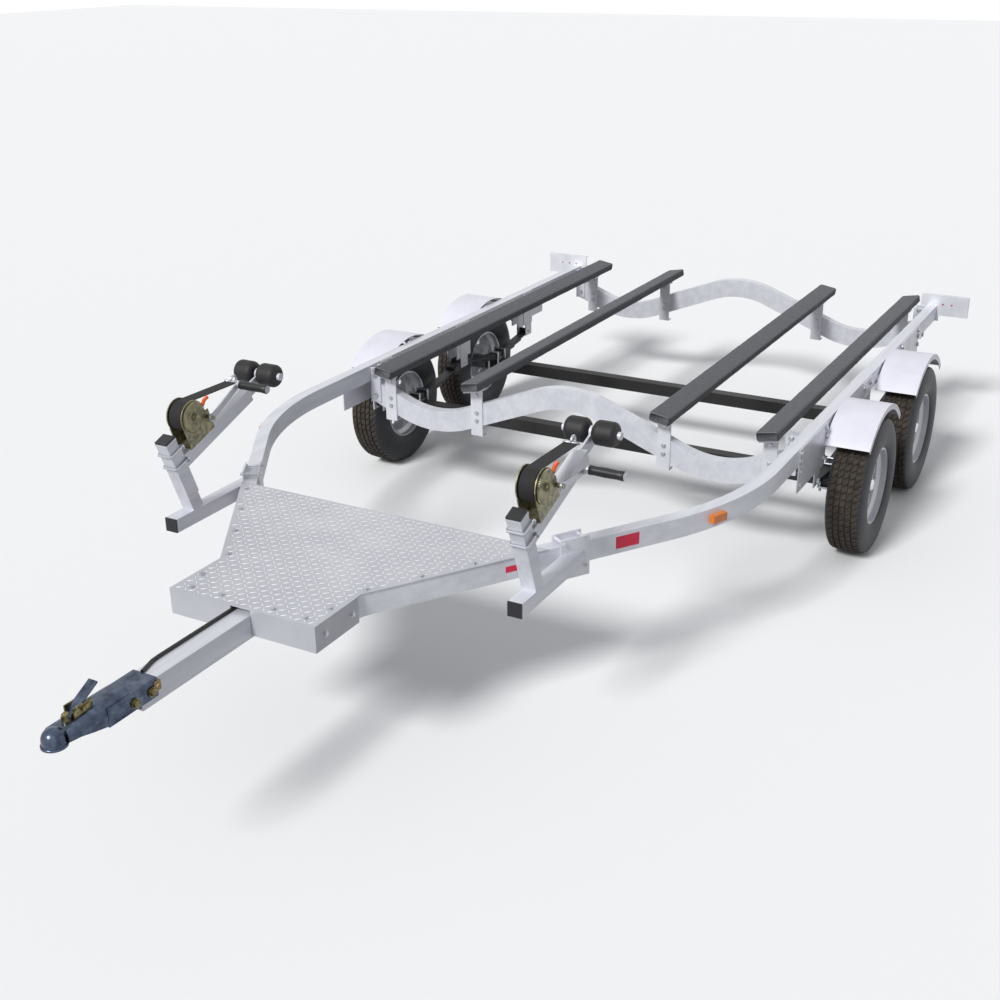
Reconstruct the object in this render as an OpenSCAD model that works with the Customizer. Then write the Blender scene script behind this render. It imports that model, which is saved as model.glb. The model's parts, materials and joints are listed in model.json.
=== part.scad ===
// Tandem-axle aluminium boat trailer for two small craft side by side.
// Built from bent rectangular tubes, with leaf springs, carpeted bunks and two winch stands.
// +X points forward to the coupler, +Y to the left, +Z up; the origin lies on the ground.

/* [Overall] */
// Length from the coupler's nose to the rear ends of the bunks
overall_l = 5475; // [5200:5:6600]
// Width over the outer faces of the tyres
overall_w = 2590; // [2500:10:3200]
// Height of the top of the side rails above the ground
rail_top = 645; // [600:1:780]

/* [Rails] */
// Width of the rail tube
rail_w = 51; // [40:1:60]
// Height of the rail tube
rail_h = 76; // [64:1:90]
// Wall thickness of the aluminium tubes
tube_t = 4; // [3:0.5:6]
// Gap between a rail's outer face and the tyre beside it
rail_to_tyre = 30; // [28:1:60]
// Angle of the rails' diagonal stretch to the centre line
rail_angle = 33; // [27:1:36]
// Centre-line radius of the rails' rear bend
rail_bend_r = 1110; // [900:10:1340]
// Centre-line radius of the rails' front bend
rail_front_bend_r = 90; // [80:5:150]
// Distance of the rails' rear ends ahead of the bunks' rear ends
rail_end_inset = 120; // [60:5:140]

/* [Tongue and deck] */
// Width of the tongue tube
tongue_w = 76; // [64:1:90]
// Height of the tongue tube
tongue_h = 76; // [64:1:92]
// Drop of the tongue's top below the rails' top
tongue_drop = 16; // [8:1:30]
// Distance from the coupler's nose to the front end of the tongue tube
tongue_setback = 315; // [280:5:380]
// Distance from the coupler's nose to the deck's front edge
deck_setback = 791; // [740:1:900]
// Length of the tread-plate deck
deck_l = 804; // [750:1:900]
// Width of the deck at its front edge
deck_front_w = 560; // [500:2:600]
// Length of the deck's parallel front part
deck_straight = 243; // [230:1:300]
// Thickness of the tread plate
deck_t = 4; // [3:0.5:6]
// Depth of the deck's turned-down lips
deck_lip = 85; // [70:1:100]

/* [Cross members] */
// Size of the cross tube along the trailer
cross_w = 51; // [40:1:60]
// Height of the cross tube
cross_h = 98; // [80:1:104]
// Angle of the cross member's straight stretches
cross_angle = 21.5; // [18:0.5:24]
// Centre-line radius of the three bends
cross_bend_r = 450; // [350:10:500]
// Height of the tube's centre line at the corner under each keel
cross_low_z = 390; // [380:1:480]
// Distance from the nose to the front cross member's centre
cross_front_setback = 3070; // [3000:5:3200]
// Distance of the rear cross member's centre ahead of the bunks' rear ends
cross_rear_inset = 155; // [140:5:200]

/* [Bunks] */
// Distance of each keel line from the trailer's centre line
keel_y = 697; // [660:1:740]
// Distance of a bunk's centre from its keel line
bunk_off = 235; // [200:1:240]
// Width of a carpeted bunk
bunk_w = 100; // [90:1:120]
// Thickness of a carpeted bunk
bunk_t = 42; // [36:1:50]
// Tilt of the bunks towards their keel line
bunk_tilt = 10; // [8:1:20]
// Height of a bunk's centre
bunk_z = 640; // [620:1:760]
// Distance from the nose to the bunks' front ends
bunk_setback = 2972; // [2900:1:3100]

/* [Axles and wheels] */
// Distance from the nose to the front axle
axle_setback = 3495; // [3400:5:3600]
// Spacing of the two axles
axle_gap = 824; // [800:2:990]
// Size of the square axle beam
beam = 60; // [50:1:70]
// Wall thickness of the axle beam
beam_t = 6; // [4:0.5:8]
// Outer radius of the tyre
tyre_r = 302; // [290:1:320]
// Width of the tyre
tyre_w = 170; // [150:1:180]
// Radius of the rim's bead seat
bead_r = 165; // [155:1:170]
// Width of the rim between its flanges
rim_w = 128; // [114:1:140]
// Radius of the circle that the wheel bolts stand on
bolt_circle_r = 57.15; // [50:0.01:65]
// Radius of the spindle that the hub turns on
spindle_r = 17.5; // [15:0.5:20]

/* [Springs] */
// Distance between the eyes of a leaf spring
spring_l = 660; // [600:2:700]
// Width of a leaf spring
spring_w = 45; // [38:1:50]
// Thickness of the leaf pack at the axle
spring_pack = 32; // [24:1:40]
// Height of a spring eye above its seat on the axle
spring_rise = 72; // [50:1:90]

/* [Fenders] */
// Inner radius of a fender
fender_r = 358; // [340:1:380]
// Height of a fender's centre above the axle
fender_lift = 2; // [0:1:60]
// Width of a fender
fender_w = 190; // [170:1:200]
// Thickness of the fender sheet
fender_t = 3; // [2:0.5:4]
// Angle above level at which a fender's ends stop
fender_start = 43; // [15:1:50]

/* [Winch stands] */
// Distance from the nose to the front end of a stand's base tube
stand_setback = 1262; // [1200:1:1320]
// Drop of the base tubes' top below the rails' top
stand_drop = 28; // [20:1:40]
// Size of the square tubes of a winch stand
stand_tube = 51; // [40:1:60]
// Distance of the post's foot behind the base tube's front end
post_inset = 119; // [90:1:150]
// Length of the post
post_l = 308; // [280:1:370]
// Forward lean of the post
post_lean = 20; // [10:1:24]
// Slope of the arm that carries the winch and the rollers
arm_slope = 19.5; // [15:0.5:26]
// Length of the arm
arm_l = 430; // [380:5:520]
// Radius of a bow roller
roller_r = 43; // [36:1:50]
// Width of a bow roller
roller_w = 84; // [70:1:90]

/* [Hidden] */
$fn = 48;

// Shared clearances
eps = 0.3;          // gap between round faces that would touch
face_gap = 0.02;     // gap between flat faces that meet on a slant
run_fit = 0.05;     // radial clearance of a hub on its spindle
cut = 1;            // how far a cutting body runs past the face it cuts
plate_t = 6;        // thickness of bracket plates
bolt_r = 6;         // radius of the frame bolts

// Lengthwise places
nose_x = overall_l / 2;
tail_x = -overall_l / 2;
tongue_x = nose_x - tongue_setback;
deck_x = nose_x - deck_setback;
deck_rear_x = deck_x - deck_l;
flare_x = deck_x - deck_straight;
front_axle_x = nose_x - axle_setback;
rear_axle_x = front_axle_x - axle_gap;
axles = [front_axle_x, rear_axle_x];
cross_front_x = nose_x - cross_front_setback;
cross_rear_x = tail_x + cross_rear_inset;
rail_end_x = tail_x + rail_end_inset;
bunk_x = nose_x - bunk_setback;
stand_x = nose_x - stand_setback;

// Sideways places
tyre_y = overall_w / 2 - tyre_w / 2;
rail_out_y = overall_w / 2 - tyre_w - rail_to_tyre;
rail_y = rail_out_y - rail_w / 2;
rail_in_y = rail_out_y - rail_w;
front_rail_y = deck_front_w / 2 - deck_t - rail_w / 2;

// Heights
rail_z = rail_top - rail_h / 2;
rail_bottom = rail_top - rail_h;
axle_z = tyre_r;
tongue_z = rail_top - tongue_drop - tongue_h / 2;

// Small helpers ----------------------------------------------------------------

// A closed box between two x, two y and two z values
module block(x, y, z) {
    translate([x[0], y[0], z[0]]) cube([x[1] - x[0], y[1] - y[0], z[1] - z[0]]);
}

// The wall of a rectangular tube as a flat outline, centred
module tube_outline(w, h, t) {
    difference() {
        square([w, h], center = true);
        square([w - 2 * t, h - 2 * t], center = true);
    }
}

// A straight rectangular tube along +X that starts at the origin
module straight_tube(l, w, h, t) {
    rotate([90, 0, 90]) linear_extrude(l) tube_outline(w, h, t);
}

bend_steps = 24;      // chords in each bend of a tube

function reversed(points) = [for (i = [len(points) - 1 : -1 : 0]) points[i]];

// A copy on each side of the trailer's centre line
module both_sides() {
    children();
    mirror([0, 1, 0]) children();
}

// A rod along Y, centred on the given point
module rod_y(x, y, z, r, l) {
    translate([x, y, z]) rotate([90, 0, 0]) cylinder(h = l, r = r, center = true);
}

// Tongue, coupler and deck ------------------------------------------------------

tongue_l = deck_setback + deck_l - tongue_setback - 30;

module tongue() {
    color("silver") translate([tongue_x, 0, tongue_z]) rotate(180)
        straight_tube(tongue_l, tongue_w, tongue_h, tube_t + 1);
}

ball_r = 25.4;                  // a 50 mm class towing ball
socket_r = ball_r + 0.6;        // bore of the socket
socket_wall = 7;
socket_x = nose_x - socket_r - socket_wall;
socket_z = tongue_z + tongue_h / 2 - 14;    // height of the ball's centre
coupler_t = 5;
coupler_back = 60;              // how far the coupler's channel laps over the tongue
coupler_ahead = 130;            // how far the channel reaches ahead of the tongue

module coupler() {
    color("lightgray") {
        // The socket: a thick cup over the ball, open below
        difference() {
            union() {
                translate([socket_x, 0, socket_z - 22]) cylinder(h = 22, r = socket_r + socket_wall);
                translate([socket_x, 0, socket_z]) sphere(r = socket_r + socket_wall);
                // Neck that widens into the channel
                block([tongue_x + coupler_ahead - 20, socket_x], [-socket_r, socket_r],
                      [socket_z - 14, socket_z + 24]);
            }
            translate([socket_x, 0, socket_z - 60]) cylinder(h = 60, r = socket_r);
            translate([socket_x, 0, socket_z]) sphere(r = socket_r);
            translate([socket_x, 0, socket_z - 72]) cylinder(h = 50, r = socket_r + socket_wall + cut);
        }
        // The channel that straps the coupler onto the tongue tube
        difference() {
            block([tongue_x - coupler_back, tongue_x + coupler_ahead],
                  [-tongue_w / 2 - coupler_t, tongue_w / 2 + coupler_t],
                  [tongue_z - 16, tongue_z + tongue_h / 2 + coupler_t]);
            block([tongue_x - coupler_back - cut, tongue_x + coupler_ahead - 20],
                  [-tongue_w / 2, tongue_w / 2],
                  [tongue_z - 20, tongue_z + tongue_h / 2]);
        }
    }
}

module coupler_latch() {
    color("lightgray") {
        block([socket_x - 130, socket_x - 45], [-12, 12], [socket_z + 24, socket_z + 46]);
        translate([socket_x - 75, 0, socket_z + 46]) rotate([0, 28, 0])
            translate([-95, -15, -1]) cube([105, 30, 6]);
    }
}

// Outline of the deck seen from above, from its front edge to its rear edge
function deck_half_w(x) = deck_front_w / 2 + max(0, flare_x - x) * tan(rail_angle);

module deck_outline(inset) {
    rear_half = deck_half_w(deck_rear_x) - inset / cos(rail_angle);
    front_half = deck_front_w / 2 - inset;
    polygon([
        [deck_x - inset, front_half], [flare_x, front_half], [deck_rear_x, rear_half],
        [deck_rear_x, -rear_half], [flare_x, -front_half], [deck_x - inset, -front_half],
    ]);
}

module deck_plate() {
    color("gainsboro") difference() {
        translate([0, 0, rail_top - deck_lip]) linear_extrude(deck_lip + deck_t) deck_outline(0);
        translate([0, 0, rail_top - deck_lip - cut]) linear_extrude(deck_lip + cut) deck_outline(deck_t);
        // Behind the straight part only the flat plate lies on the rails
        block([deck_rear_x - cut, bend_1[0]], [-overall_w / 2, overall_w / 2], [0, rail_top]);
        // The front lip lets the tongue pass
        block([deck_x - deck_t - cut, deck_x + cut], [-tongue_w / 2 - eps, tongue_w / 2 + eps], [0, rail_top]);
    }
}

deck_beam_w = 51;
deck_beam_h = rail_h - deck_t;

// Two cross tubes under the deck tie the tongue to the rails; the tongue passes through them
module deck_beam(x, half_l) {
    z = rail_top - deck_beam_h / 2;
    difference() {
        translate([x, -half_l, z]) rotate(90) straight_tube(2 * half_l, deck_beam_w, deck_beam_h, tube_t);
        block([x - deck_beam_w, x + deck_beam_w], [-tongue_w / 2, tongue_w / 2], [0, rail_top + cut]);
    }
}

module deck_frame() {
    color("silver") {
        deck_beam(deck_x - deck_t - deck_beam_w / 2 - 20, front_rail_y - rail_w / 2);
        x = deck_rear_x + 60;
        deck_beam(x, rail_outer_y(x + deck_beam_w / 2) - rail_w / cos(rail_angle) - eps);
    }
}

// Rails and cross members --------------------------------------------------------

// Outer face of the rail in its front and diagonal stretches, and where it reaches a given y
rail_face_y = deck_front_w / 2 - deck_t;
function rail_outer_y(x) = rail_face_y + max(0, flare_x - x) * tan(rail_angle);
function rail_diag_x(y) = flare_x - (y - rail_face_y) / tan(rail_angle);

// The rail's centre line turns at two corners
corner_1_x = flare_x - rail_w / 2 * tan(rail_angle / 2);
corner_2_x = corner_1_x - (rail_y - front_rail_y) / tan(rail_angle);
tangent_1 = rail_front_bend_r * tan(rail_angle / 2);
tangent_2 = rail_bend_r * tan(rail_angle / 2);
rail_start_x = deck_x - deck_t;

bend_1 = [corner_1_x + tangent_1, front_rail_y + rail_front_bend_r];
bend_2 = [corner_2_x - tangent_2, rail_y - rail_bend_r];

// The rail's centre line seen from above, moved sideways by d and run past both ends by more
function rail_line(d, more) = concat(
    [[rail_start_x + more, front_rail_y + d]],
    [for (i = [0 : bend_steps]) let (a = rail_angle * i / bend_steps)
        bend_1 - (rail_front_bend_r - d) * [sin(a), cos(a)]],
    [for (i = [0 : bend_steps]) let (a = rail_angle * (1 - i / bend_steps))
        bend_2 + (rail_bend_r + d) * [sin(a), cos(a)]],
    [[rail_end_x - more, rail_y + d]]
);

module rail_prism(half_w, half_h, more) {
    translate([0, 0, rail_z - half_h]) linear_extrude(2 * half_h)
        polygon(concat(rail_line(half_w, more), reversed(rail_line(-half_w, more))));
}

module rail() {
    difference() {
        rail_prism(rail_w / 2, rail_h / 2, 0);
        rail_prism(rail_w / 2 - tube_t, rail_h / 2 - tube_t, cut);
    }
}

module left_rail() { color("silver") rail(); }
module right_rail() { color("silver") mirror([0, 1, 0]) rail(); }

// The cross member dips under each keel and rises between the two hulls.
// Its centre line seen from behind, right half, moved up by d and ended at end_y
cross_rise = cross_bend_r / cos(cross_angle);
cross_crown_z = cross_low_z + keel_y * tan(cross_angle);

function cross_half(d, end_y) = concat(
    [for (i = [0 : bend_steps]) let (a = cross_angle * i / bend_steps)
        [0, cross_crown_z - cross_rise] + (cross_bend_r + d) * [sin(a), cos(a)]],
    [for (i = [0 : 2 * bend_steps]) let (a = cross_angle * (i / bend_steps - 1))
        [keel_y, cross_low_z + cross_rise] + (cross_bend_r - d) * [sin(a), -cos(a)]],
    [[end_y, cross_low_z + (end_y - keel_y) * tan(cross_angle) + d / cos(cross_angle)]]
);

function cross_line(d, end_y) = let (half = cross_half(d, end_y))
    concat([for (i = [len(half) - 1 : -1 : 1]) [-half[i][0], half[i][1]]], half);

module cross_prism(x, half_w, half_h, end_y) {
    translate([x - half_w, 0, 0]) rotate([90, 0, 90]) linear_extrude(2 * half_w)
        polygon(concat(cross_line(half_h, end_y), reversed(cross_line(-half_h, end_y))));
}

cross_plate_w = 55;   // width of the end plates beside the rail

module crossmember(x) {
    difference() {
        cross_prism(x, cross_w / 2, cross_h / 2, rail_in_y);
        cross_prism(x, cross_w / 2 - tube_t, cross_h / 2 - tube_t, rail_in_y + cut);
    }
    // End plates that hang from the rails' inner faces beside the tube
    end_z = cross_low_z + (rail_in_y - keel_y) * tan(cross_angle);
    both_sides() for (q = [1, -1])
        translate([x + q * (cross_w + plate_t) / 2, 0, 0])
            block([-plate_t / 2, plate_t / 2], [rail_in_y - cross_plate_w, rail_in_y],
                  [end_z - cross_h * 0.6, rail_top - 6]);
}

module front_crossmember() { color("silver") crossmember(cross_front_x); }
module rear_crossmember() { color("silver") crossmember(cross_rear_x); }

// Height of the cross member's top on its straight stretch beside a keel line
function cross_top_z(off) = cross_low_z + off * tan(cross_angle) + cross_h / 2 / cos(cross_angle);

// Bunks ---------------------------------------------------------------------------

// side: 1 left hull, -1 right hull; row: 1 outer bunk, -1 inner bunk
module bunk(side, row) {
    color("dimgray") translate([0, side * (keel_y + row * bunk_off), bunk_z])
        rotate([side * row * bunk_tilt, 0, 0])
            block([tail_x, bunk_x], [-bunk_w / 2, bunk_w / 2], [-bunk_t / 2, bunk_t / 2]);
}

module left_outer_bunk() { bunk(1, 1); }
module left_inner_bunk() { bunk(1, -1); }
module right_inner_bunk() { bunk(-1, -1); }
module right_outer_bunk() { bunk(-1, 1); }

// A strap on the cross tube's front face, a foot below the tube and a tilted shelf under the bunk
module bunk_bracket(x, side, row) {
    y = side * (keel_y + row * bunk_off);
    tube_low = cross_top_z(bunk_off) - cross_h / cos(cross_angle);
    half = 30;
    front = x + cross_w / 2;
    difference() {
        union() {
            block([front, front + plate_t], [y - half, y + half], [tube_low - 40, bunk_z]);
            block([front - 34, front], [y - half, y + half], [tube_low - 40, tube_low - 40 + plate_t]);
            translate([0, y, bunk_z]) rotate([side * row * bunk_tilt, 0, 0])
                block([front, front + 60], [-bunk_w / 2 + 8, bunk_w / 2 - 8],
                      [-bunk_t / 2 - plate_t, -bunk_t / 2]);
        }
        translate([0, y, bunk_z]) rotate([side * row * bunk_tilt, 0, 0])
            block([front - cut, front + 70], [-bunk_w, bunk_w], [-bunk_t / 2, bunk_t]);
    }
}

module bunk_brackets() {
    color("lightgray") for (x = [cross_front_x, cross_rear_x], side = [1, -1], row = [1, -1])
        bunk_bracket(x, side, row);
}

// Axles and suspension --------------------------------------------------------------

beam_end_y = rail_out_y + 22;
hub_in_y = beam_end_y + 6;           // inner face of the hub
disc_y = tyre_y + 8;                 // wheel's mounting face against the hub
spindle_end_y = disc_y + 30;

module axle(x) {
    color("dimgray") {
        translate([x, -beam_end_y, axle_z]) rotate(90) straight_tube(2 * beam_end_y, beam, beam, beam_t);
        both_sides() {
            block([x - beam / 2 + beam_t, x + beam / 2 - beam_t],
                  [beam_end_y - 60, beam_end_y],
                  [axle_z - beam / 2 + beam_t, axle_z + beam / 2 - beam_t]);
            rod_y(x, (beam_end_y + spindle_end_y) / 2, axle_z, spindle_r, spindle_end_y - beam_end_y);
        }
    }
}

module front_axle() { axle(front_axle_x); }
module rear_axle() { axle(rear_axle_x); }

seat_t = 8;                          // spring seat on top of the axle beam
seat_z = axle_z + beam / 2;
pack_z = seat_z + seat_t;            // underside of the leaf pack
eye_z = pack_z + spring_rise;
eye_r = 14;
eye_bolt_r = 7;
leaf_t = 8;
// Radius of the main leaf's upper face, which rises to the eyes by leaf_drop
leaf_drop = eye_z - eye_r + leaf_t - pack_z - spring_pack;
leaf_r = (pow(spring_l / 2, 2) + pow(leaf_drop, 2)) / (2 * leaf_drop);

// Side view of a spring: leaves on one centre, each shorter than the one above, and two eyes
module spring_outline() {
    leaves = floor(spring_pack / leaf_t);
    centre_z = pack_z + spring_pack + leaf_r;
    difference() {
        union() {
            for (i = [0 : leaves - 1]) {
                half = spring_l / 2 * (1 - 0.24 * i);
                intersection() {
                    translate([0, centre_z]) difference() {
                        circle(r = leaf_r + (i + 1) * leaf_t, $fn = 720);
                        circle(r = leaf_r + i * leaf_t, $fn = 720);
                    }
                    translate([-half, pack_z - cut]) square([2 * half, spring_rise + cut]);
                }
            }
            for (s = [1, -1]) translate([s * spring_l / 2, eye_z]) circle(r = eye_r);
        }
        for (s = [1, -1]) translate([s * spring_l / 2, eye_z]) circle(r = eye_bolt_r + eps);
    }
}

module spring(x) {
    translate([x, rail_y + spring_w / 2, 0]) rotate([90, 0, 0]) linear_extrude(spring_w) spring_outline();
}

module springs() {
    color("dimgray") both_sides() for (x = axles) spring(x);
}

hanger_gap = spring_w + 4;           // clear width between an end hanger's cheeks
hanger_t = 5;
hanger_half = 34;
link_t = 5;                          // thickness of an equalizer's side links
link_gap = spring_w + 1;             // clear width between the links
pivot_gap = link_gap + 2 * link_t + 2;
pivot_x = (front_axle_x + rear_axle_x) / 2;
pivot_z = eye_z + 14;

// A hanger: two cheeks under a top plate, with the bolt that carries the eye
module hanger(x, z, gap) {
    difference() {
        block([x - hanger_half, x + hanger_half],
              [rail_y - gap / 2 - hanger_t, rail_y + gap / 2 + hanger_t],
              [z - 22, rail_bottom]);
        block([x - hanger_half - cut, x + hanger_half + cut],
              [rail_y - gap / 2, rail_y + gap / 2],
              [z - 22 - cut, rail_bottom - plate_t]);
    }
    rod_y(x, rail_y, z, eye_bolt_r, gap + 2 * hanger_t + 16);
}

saddle_low = 112;                    // how far a saddle hangs below the rail
saddle_long = 280;                   // reach of an outer saddle away from the wheel
saddle_short = 95;                   // reach towards the wheel
saddle_in = [-60, 40];               // reach of an inner saddle either way from its hanger
saddle_mid = 70;

// A plate on the rail's outer (1) or inner (-1) face between two x values
module hanger_saddle(face, x0, x1) {
    translate([0, rail_y + face * (rail_w + hanger_t) / 2, 0])
        block([x0, x1], [-hanger_t / 2, hanger_t / 2], [rail_bottom - saddle_low, rail_top - 4]);
}

module spring_hangers() {
    front_x = front_axle_x + spring_l / 2;
    rear_x = rear_axle_x - spring_l / 2;
    color("silver") both_sides() {
        hanger(front_x, eye_z, hanger_gap);
        hanger_saddle(1, front_x - saddle_short, front_x + saddle_long);
        hanger_saddle(-1, front_x + saddle_in[0], front_x + saddle_in[1]);
        hanger(rear_x, eye_z, hanger_gap);
        hanger_saddle(1, rear_x - saddle_long, rear_x + saddle_short);
        hanger_saddle(-1, rear_x - saddle_in[1], rear_x - saddle_in[0]);
        hanger(pivot_x, pivot_z, pivot_gap);
        for (face = [1, -1]) hanger_saddle(face, pivot_x - saddle_mid, pivot_x + saddle_mid);
    }
}

// The equalizer rocks on the middle hanger; its links hold the springs' inner eyes
module equalizer() {
    arm = (axle_gap - spring_l) / 2;
    translate([pivot_x, rail_y, 0]) difference() {
        union() {
            for (s = [1, -1])
                translate([0, s * (link_gap + link_t) / 2 + link_t / 2, 0]) rotate([90, 0, 0])
                    linear_extrude(link_t) {
                        polygon([[-arm, eye_z - 16], [arm, eye_z - 16], [arm + 12, eye_z],
                                 [22, pivot_z + 18], [-22, pivot_z + 18], [-arm - 12, eye_z]]);
                    }
            rod_y(0, 0, pivot_z, 16, link_gap + link_t);
            for (s = [1, -1]) rod_y(s * arm, 0, eye_z, eye_bolt_r, link_gap + link_t);
        }
        rod_y(0, 0, pivot_z, eye_bolt_r + eps, 2 * spring_w);
    }
}

module equalizers() { color("dimgray") both_sides() equalizer(); }

// Seat on the beam, spring plate below it and the two U-bolts that clamp the spring
module axle_clamp(x) {
    ubolt_r = 6;
    ubolt_x = beam / 2 + ubolt_r + 1;
    ubolt_y = spring_w / 2 + ubolt_r + 1;
    plate_z = axle_z - beam / 2 - 8;
    top_z = pack_z + spring_pack + ubolt_r + 0.6;
    translate([x, rail_y, 0]) {
        block([-beam / 2, beam / 2], [-spring_w / 2, spring_w / 2], [seat_z, pack_z]);
        block([-ubolt_x - 12, ubolt_x + 12], [-ubolt_y - 10, ubolt_y + 10], [plate_z, plate_z + 8]);
        for (s = [1, -1]) {
            for (q = [1, -1])
                translate([s * ubolt_x, q * ubolt_y, plate_z - 16])
                    cylinder(h = top_z + ubolt_r - plate_z + 16, r = ubolt_r);
            rod_y(s * ubolt_x, 0, top_z, ubolt_r - 0.5, 2 * ubolt_y);
        }
    }
}

module axle_clamps() {
    color("dimgray") both_sides() for (x = axles) axle_clamp(x);
}

// Fenders -----------------------------------------------------------------------------

fender_y = rail_out_y + 6;

module fender(x) {
    span = 180 - 2 * fender_start;
    translate([x, fender_y + fender_w, axle_z + fender_lift]) rotate([90, 0, 0])
        rotate([0, 0, fender_start]) rotate_extrude(angle = span, $fn = 96) {
            translate([fender_r, 0]) square([fender_t, fender_w]);
            // Rolled lip along the outer edge
            translate([fender_r - 22, 0]) square([22 + fender_t, fender_t]);
        }
}

module left_front_fender() { color("whitesmoke") fender(front_axle_x); }
module left_rear_fender() { color("whitesmoke") fender(rear_axle_x); }
module right_front_fender() { color("whitesmoke") mirror([0, 1, 0]) fender(front_axle_x); }
module right_rear_fender() { color("whitesmoke") mirror([0, 1, 0]) fender(rear_axle_x); }

// Flat arms reach out from the rail under each fender's two shoulders
module fender_brackets() {
    shoulder = 36;
    arm_t = 5;
    top_r = fender_r - 0.6;
    color("gray") both_sides() for (x = axles, s = [1, -1])
        translate([x, 0, axle_z + fender_lift]) rotate([0, s * shoulder, 0])
            block([-15, 15], [rail_out_y, fender_y + fender_w - 30], [top_r - arm_t, top_r]);
}

// Winch stands ---------------------------------------------------------------------------

stand_top = rail_top - stand_drop;
stand_z = stand_top - stand_tube / 2;
foot_x = stand_x - post_inset;
stand_wall = 4;
clamp_t = 6;                          // thickness of the clamp plates on either side of the rail
base_rear_x = rail_diag_x(keel_y);    // where the keel line meets the rail's outer face
arm_start = 198;                      // how far up the post the arm's centre line leaves it
roller_gap = 10;                      // from the arm's middle plane to a roller
tab_t = 8;                            // thickness of the tab that holds the rollers' bolt
roller_bolt_r = 8;
roller_lift = 26;                     // height of the rollers' axis above the arm's centre line
roller_d = arm_l + 101;               // distance of the rollers' axis along the arm
roller_y = roller_gap + roller_w / 2;

arm_x = foot_x + arm_start * sin(post_lean);
arm_z = stand_top + arm_start * cos(post_lean);
roller_x = arm_x - roller_d * cos(arm_slope) + roller_lift * sin(arm_slope);
roller_z = arm_z + roller_d * sin(arm_slope) + roller_lift * cos(arm_slope);

// Frames that the stand's pieces are drawn in: z along the post, or x back along the arm
module on_post() { translate([foot_x, 0, stand_top]) rotate([0, post_lean, 0]) children(); }
module on_arm() { translate([arm_x, 0, arm_z]) rotate([0, arm_slope, 0]) mirror([1, 0, 0]) children(); }
// x along the rail's outer face where the stand meets it, y away from the rail
module on_rail_face() { translate([base_rear_x, 0, 0]) rotate(-rail_angle) children(); }

module winch_stand() {
    reach = 3 * stand_tube;
    half = stand_tube / 2;
    sleeve_t = 6;
    difference() {
        union() {
            // Base tube
            translate([stand_x, 0, stand_z]) rotate(180)
                straight_tube(stand_x - base_rear_x + stand_tube, stand_tube, stand_tube, stand_wall);
            // Post, from just inside the base tube's top wall
            on_post() translate([0, 0, -2]) rotate([0, -90, 0])
                straight_tube(post_l + 2, stand_tube, stand_tube, stand_wall);
        }
        // The base tube ends on the clamp's outer plate
        on_rail_face() block([-reach, reach], [-reach, clamp_t], [0, 2 * rail_top]);
    }
    // Plate behind the post, the arm welded to it and a flat strut below the arm
    difference() {
        union() {
            on_post() block([-half - sleeve_t, -half], [-half, half], [60, 270]);
            on_arm() straight_tube(arm_l, stand_tube, stand_tube, stand_wall);
            on_post() translate([-half, 0, 60]) rotate([0, 16, 0])
                block([-sleeve_t, 0], [-half, half], [0, 120]);
        }
        on_post() block([-half, 2 * stand_tube], [-stand_tube, stand_tube], [-post_l, 2 * post_l]);
    }
    // The arm's end plate, the tab and the bolt for the two rollers
    on_arm() {
        block([arm_l, arm_l + clamp_t], [-half, half], [-half, half]);
        block([arm_l + clamp_t, roller_d], [-tab_t / 2, tab_t / 2], [-half, roller_lift]);
        rod_y(roller_d, 0, roller_lift, 20, tab_t);
        rod_y(roller_d, 0, roller_lift, roller_bolt_r, 2 * (roller_gap + roller_w) + 24);
        for (s = [1, -1]) rod_y(roller_d, s * (roller_gap + roller_w + 1 + 6), roller_lift, 14, 12);
    }
}

module left_winch_stand() { color("silver") translate([0, keel_y, 0]) winch_stand(); }
module right_winch_stand() { color("silver") mirror([0, 1, 0]) translate([0, keel_y, 0]) winch_stand(); }

// Plates on the rail's outer and inner faces, drawn together by four bolts, hold the base tube
module stand_clamp() {
    half = 56;
    bolt_in = half - 12;
    low_bolt_z = min(rail_bottom, stand_top - stand_tube) - bolt_r - 2;
    high_bolt_z = rail_top + bolt_r + 4;
    translate([0, keel_y, 0]) on_rail_face() {
        for (y = [face_gap, -rail_w - clamp_t])
            block([-half, half], [y, y + clamp_t - face_gap], [low_bolt_z - 35, high_bolt_z + 12]);
        for (x = [-bolt_in, bolt_in], z = [low_bolt_z, high_bolt_z])
            rod_y(x, -rail_w / 2, z, bolt_r, rail_w + 2 * clamp_t + 18);
    }
}

module stand_clamps() { color("lightgray") both_sides() stand_clamp(); }

winch_d = 126;                        // distance of the drum's axis along the arm
drum_lift = 128;                      // height of the drum's axis above the arm's centre line
cheek_gap = 62;                       // clear width between the winch's cheeks
cheek_t = 4;
core_r = 12;                          // drum core
strap_r = 56;                         // outer radius of the wound strap
shaft_d = winch_d + 58;               // place of the crank's shaft along the arm
shaft_lift = drum_lift - 40;
shaft_r = 8;
crank_y = cheek_gap / 2 + cheek_t + 26;

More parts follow.
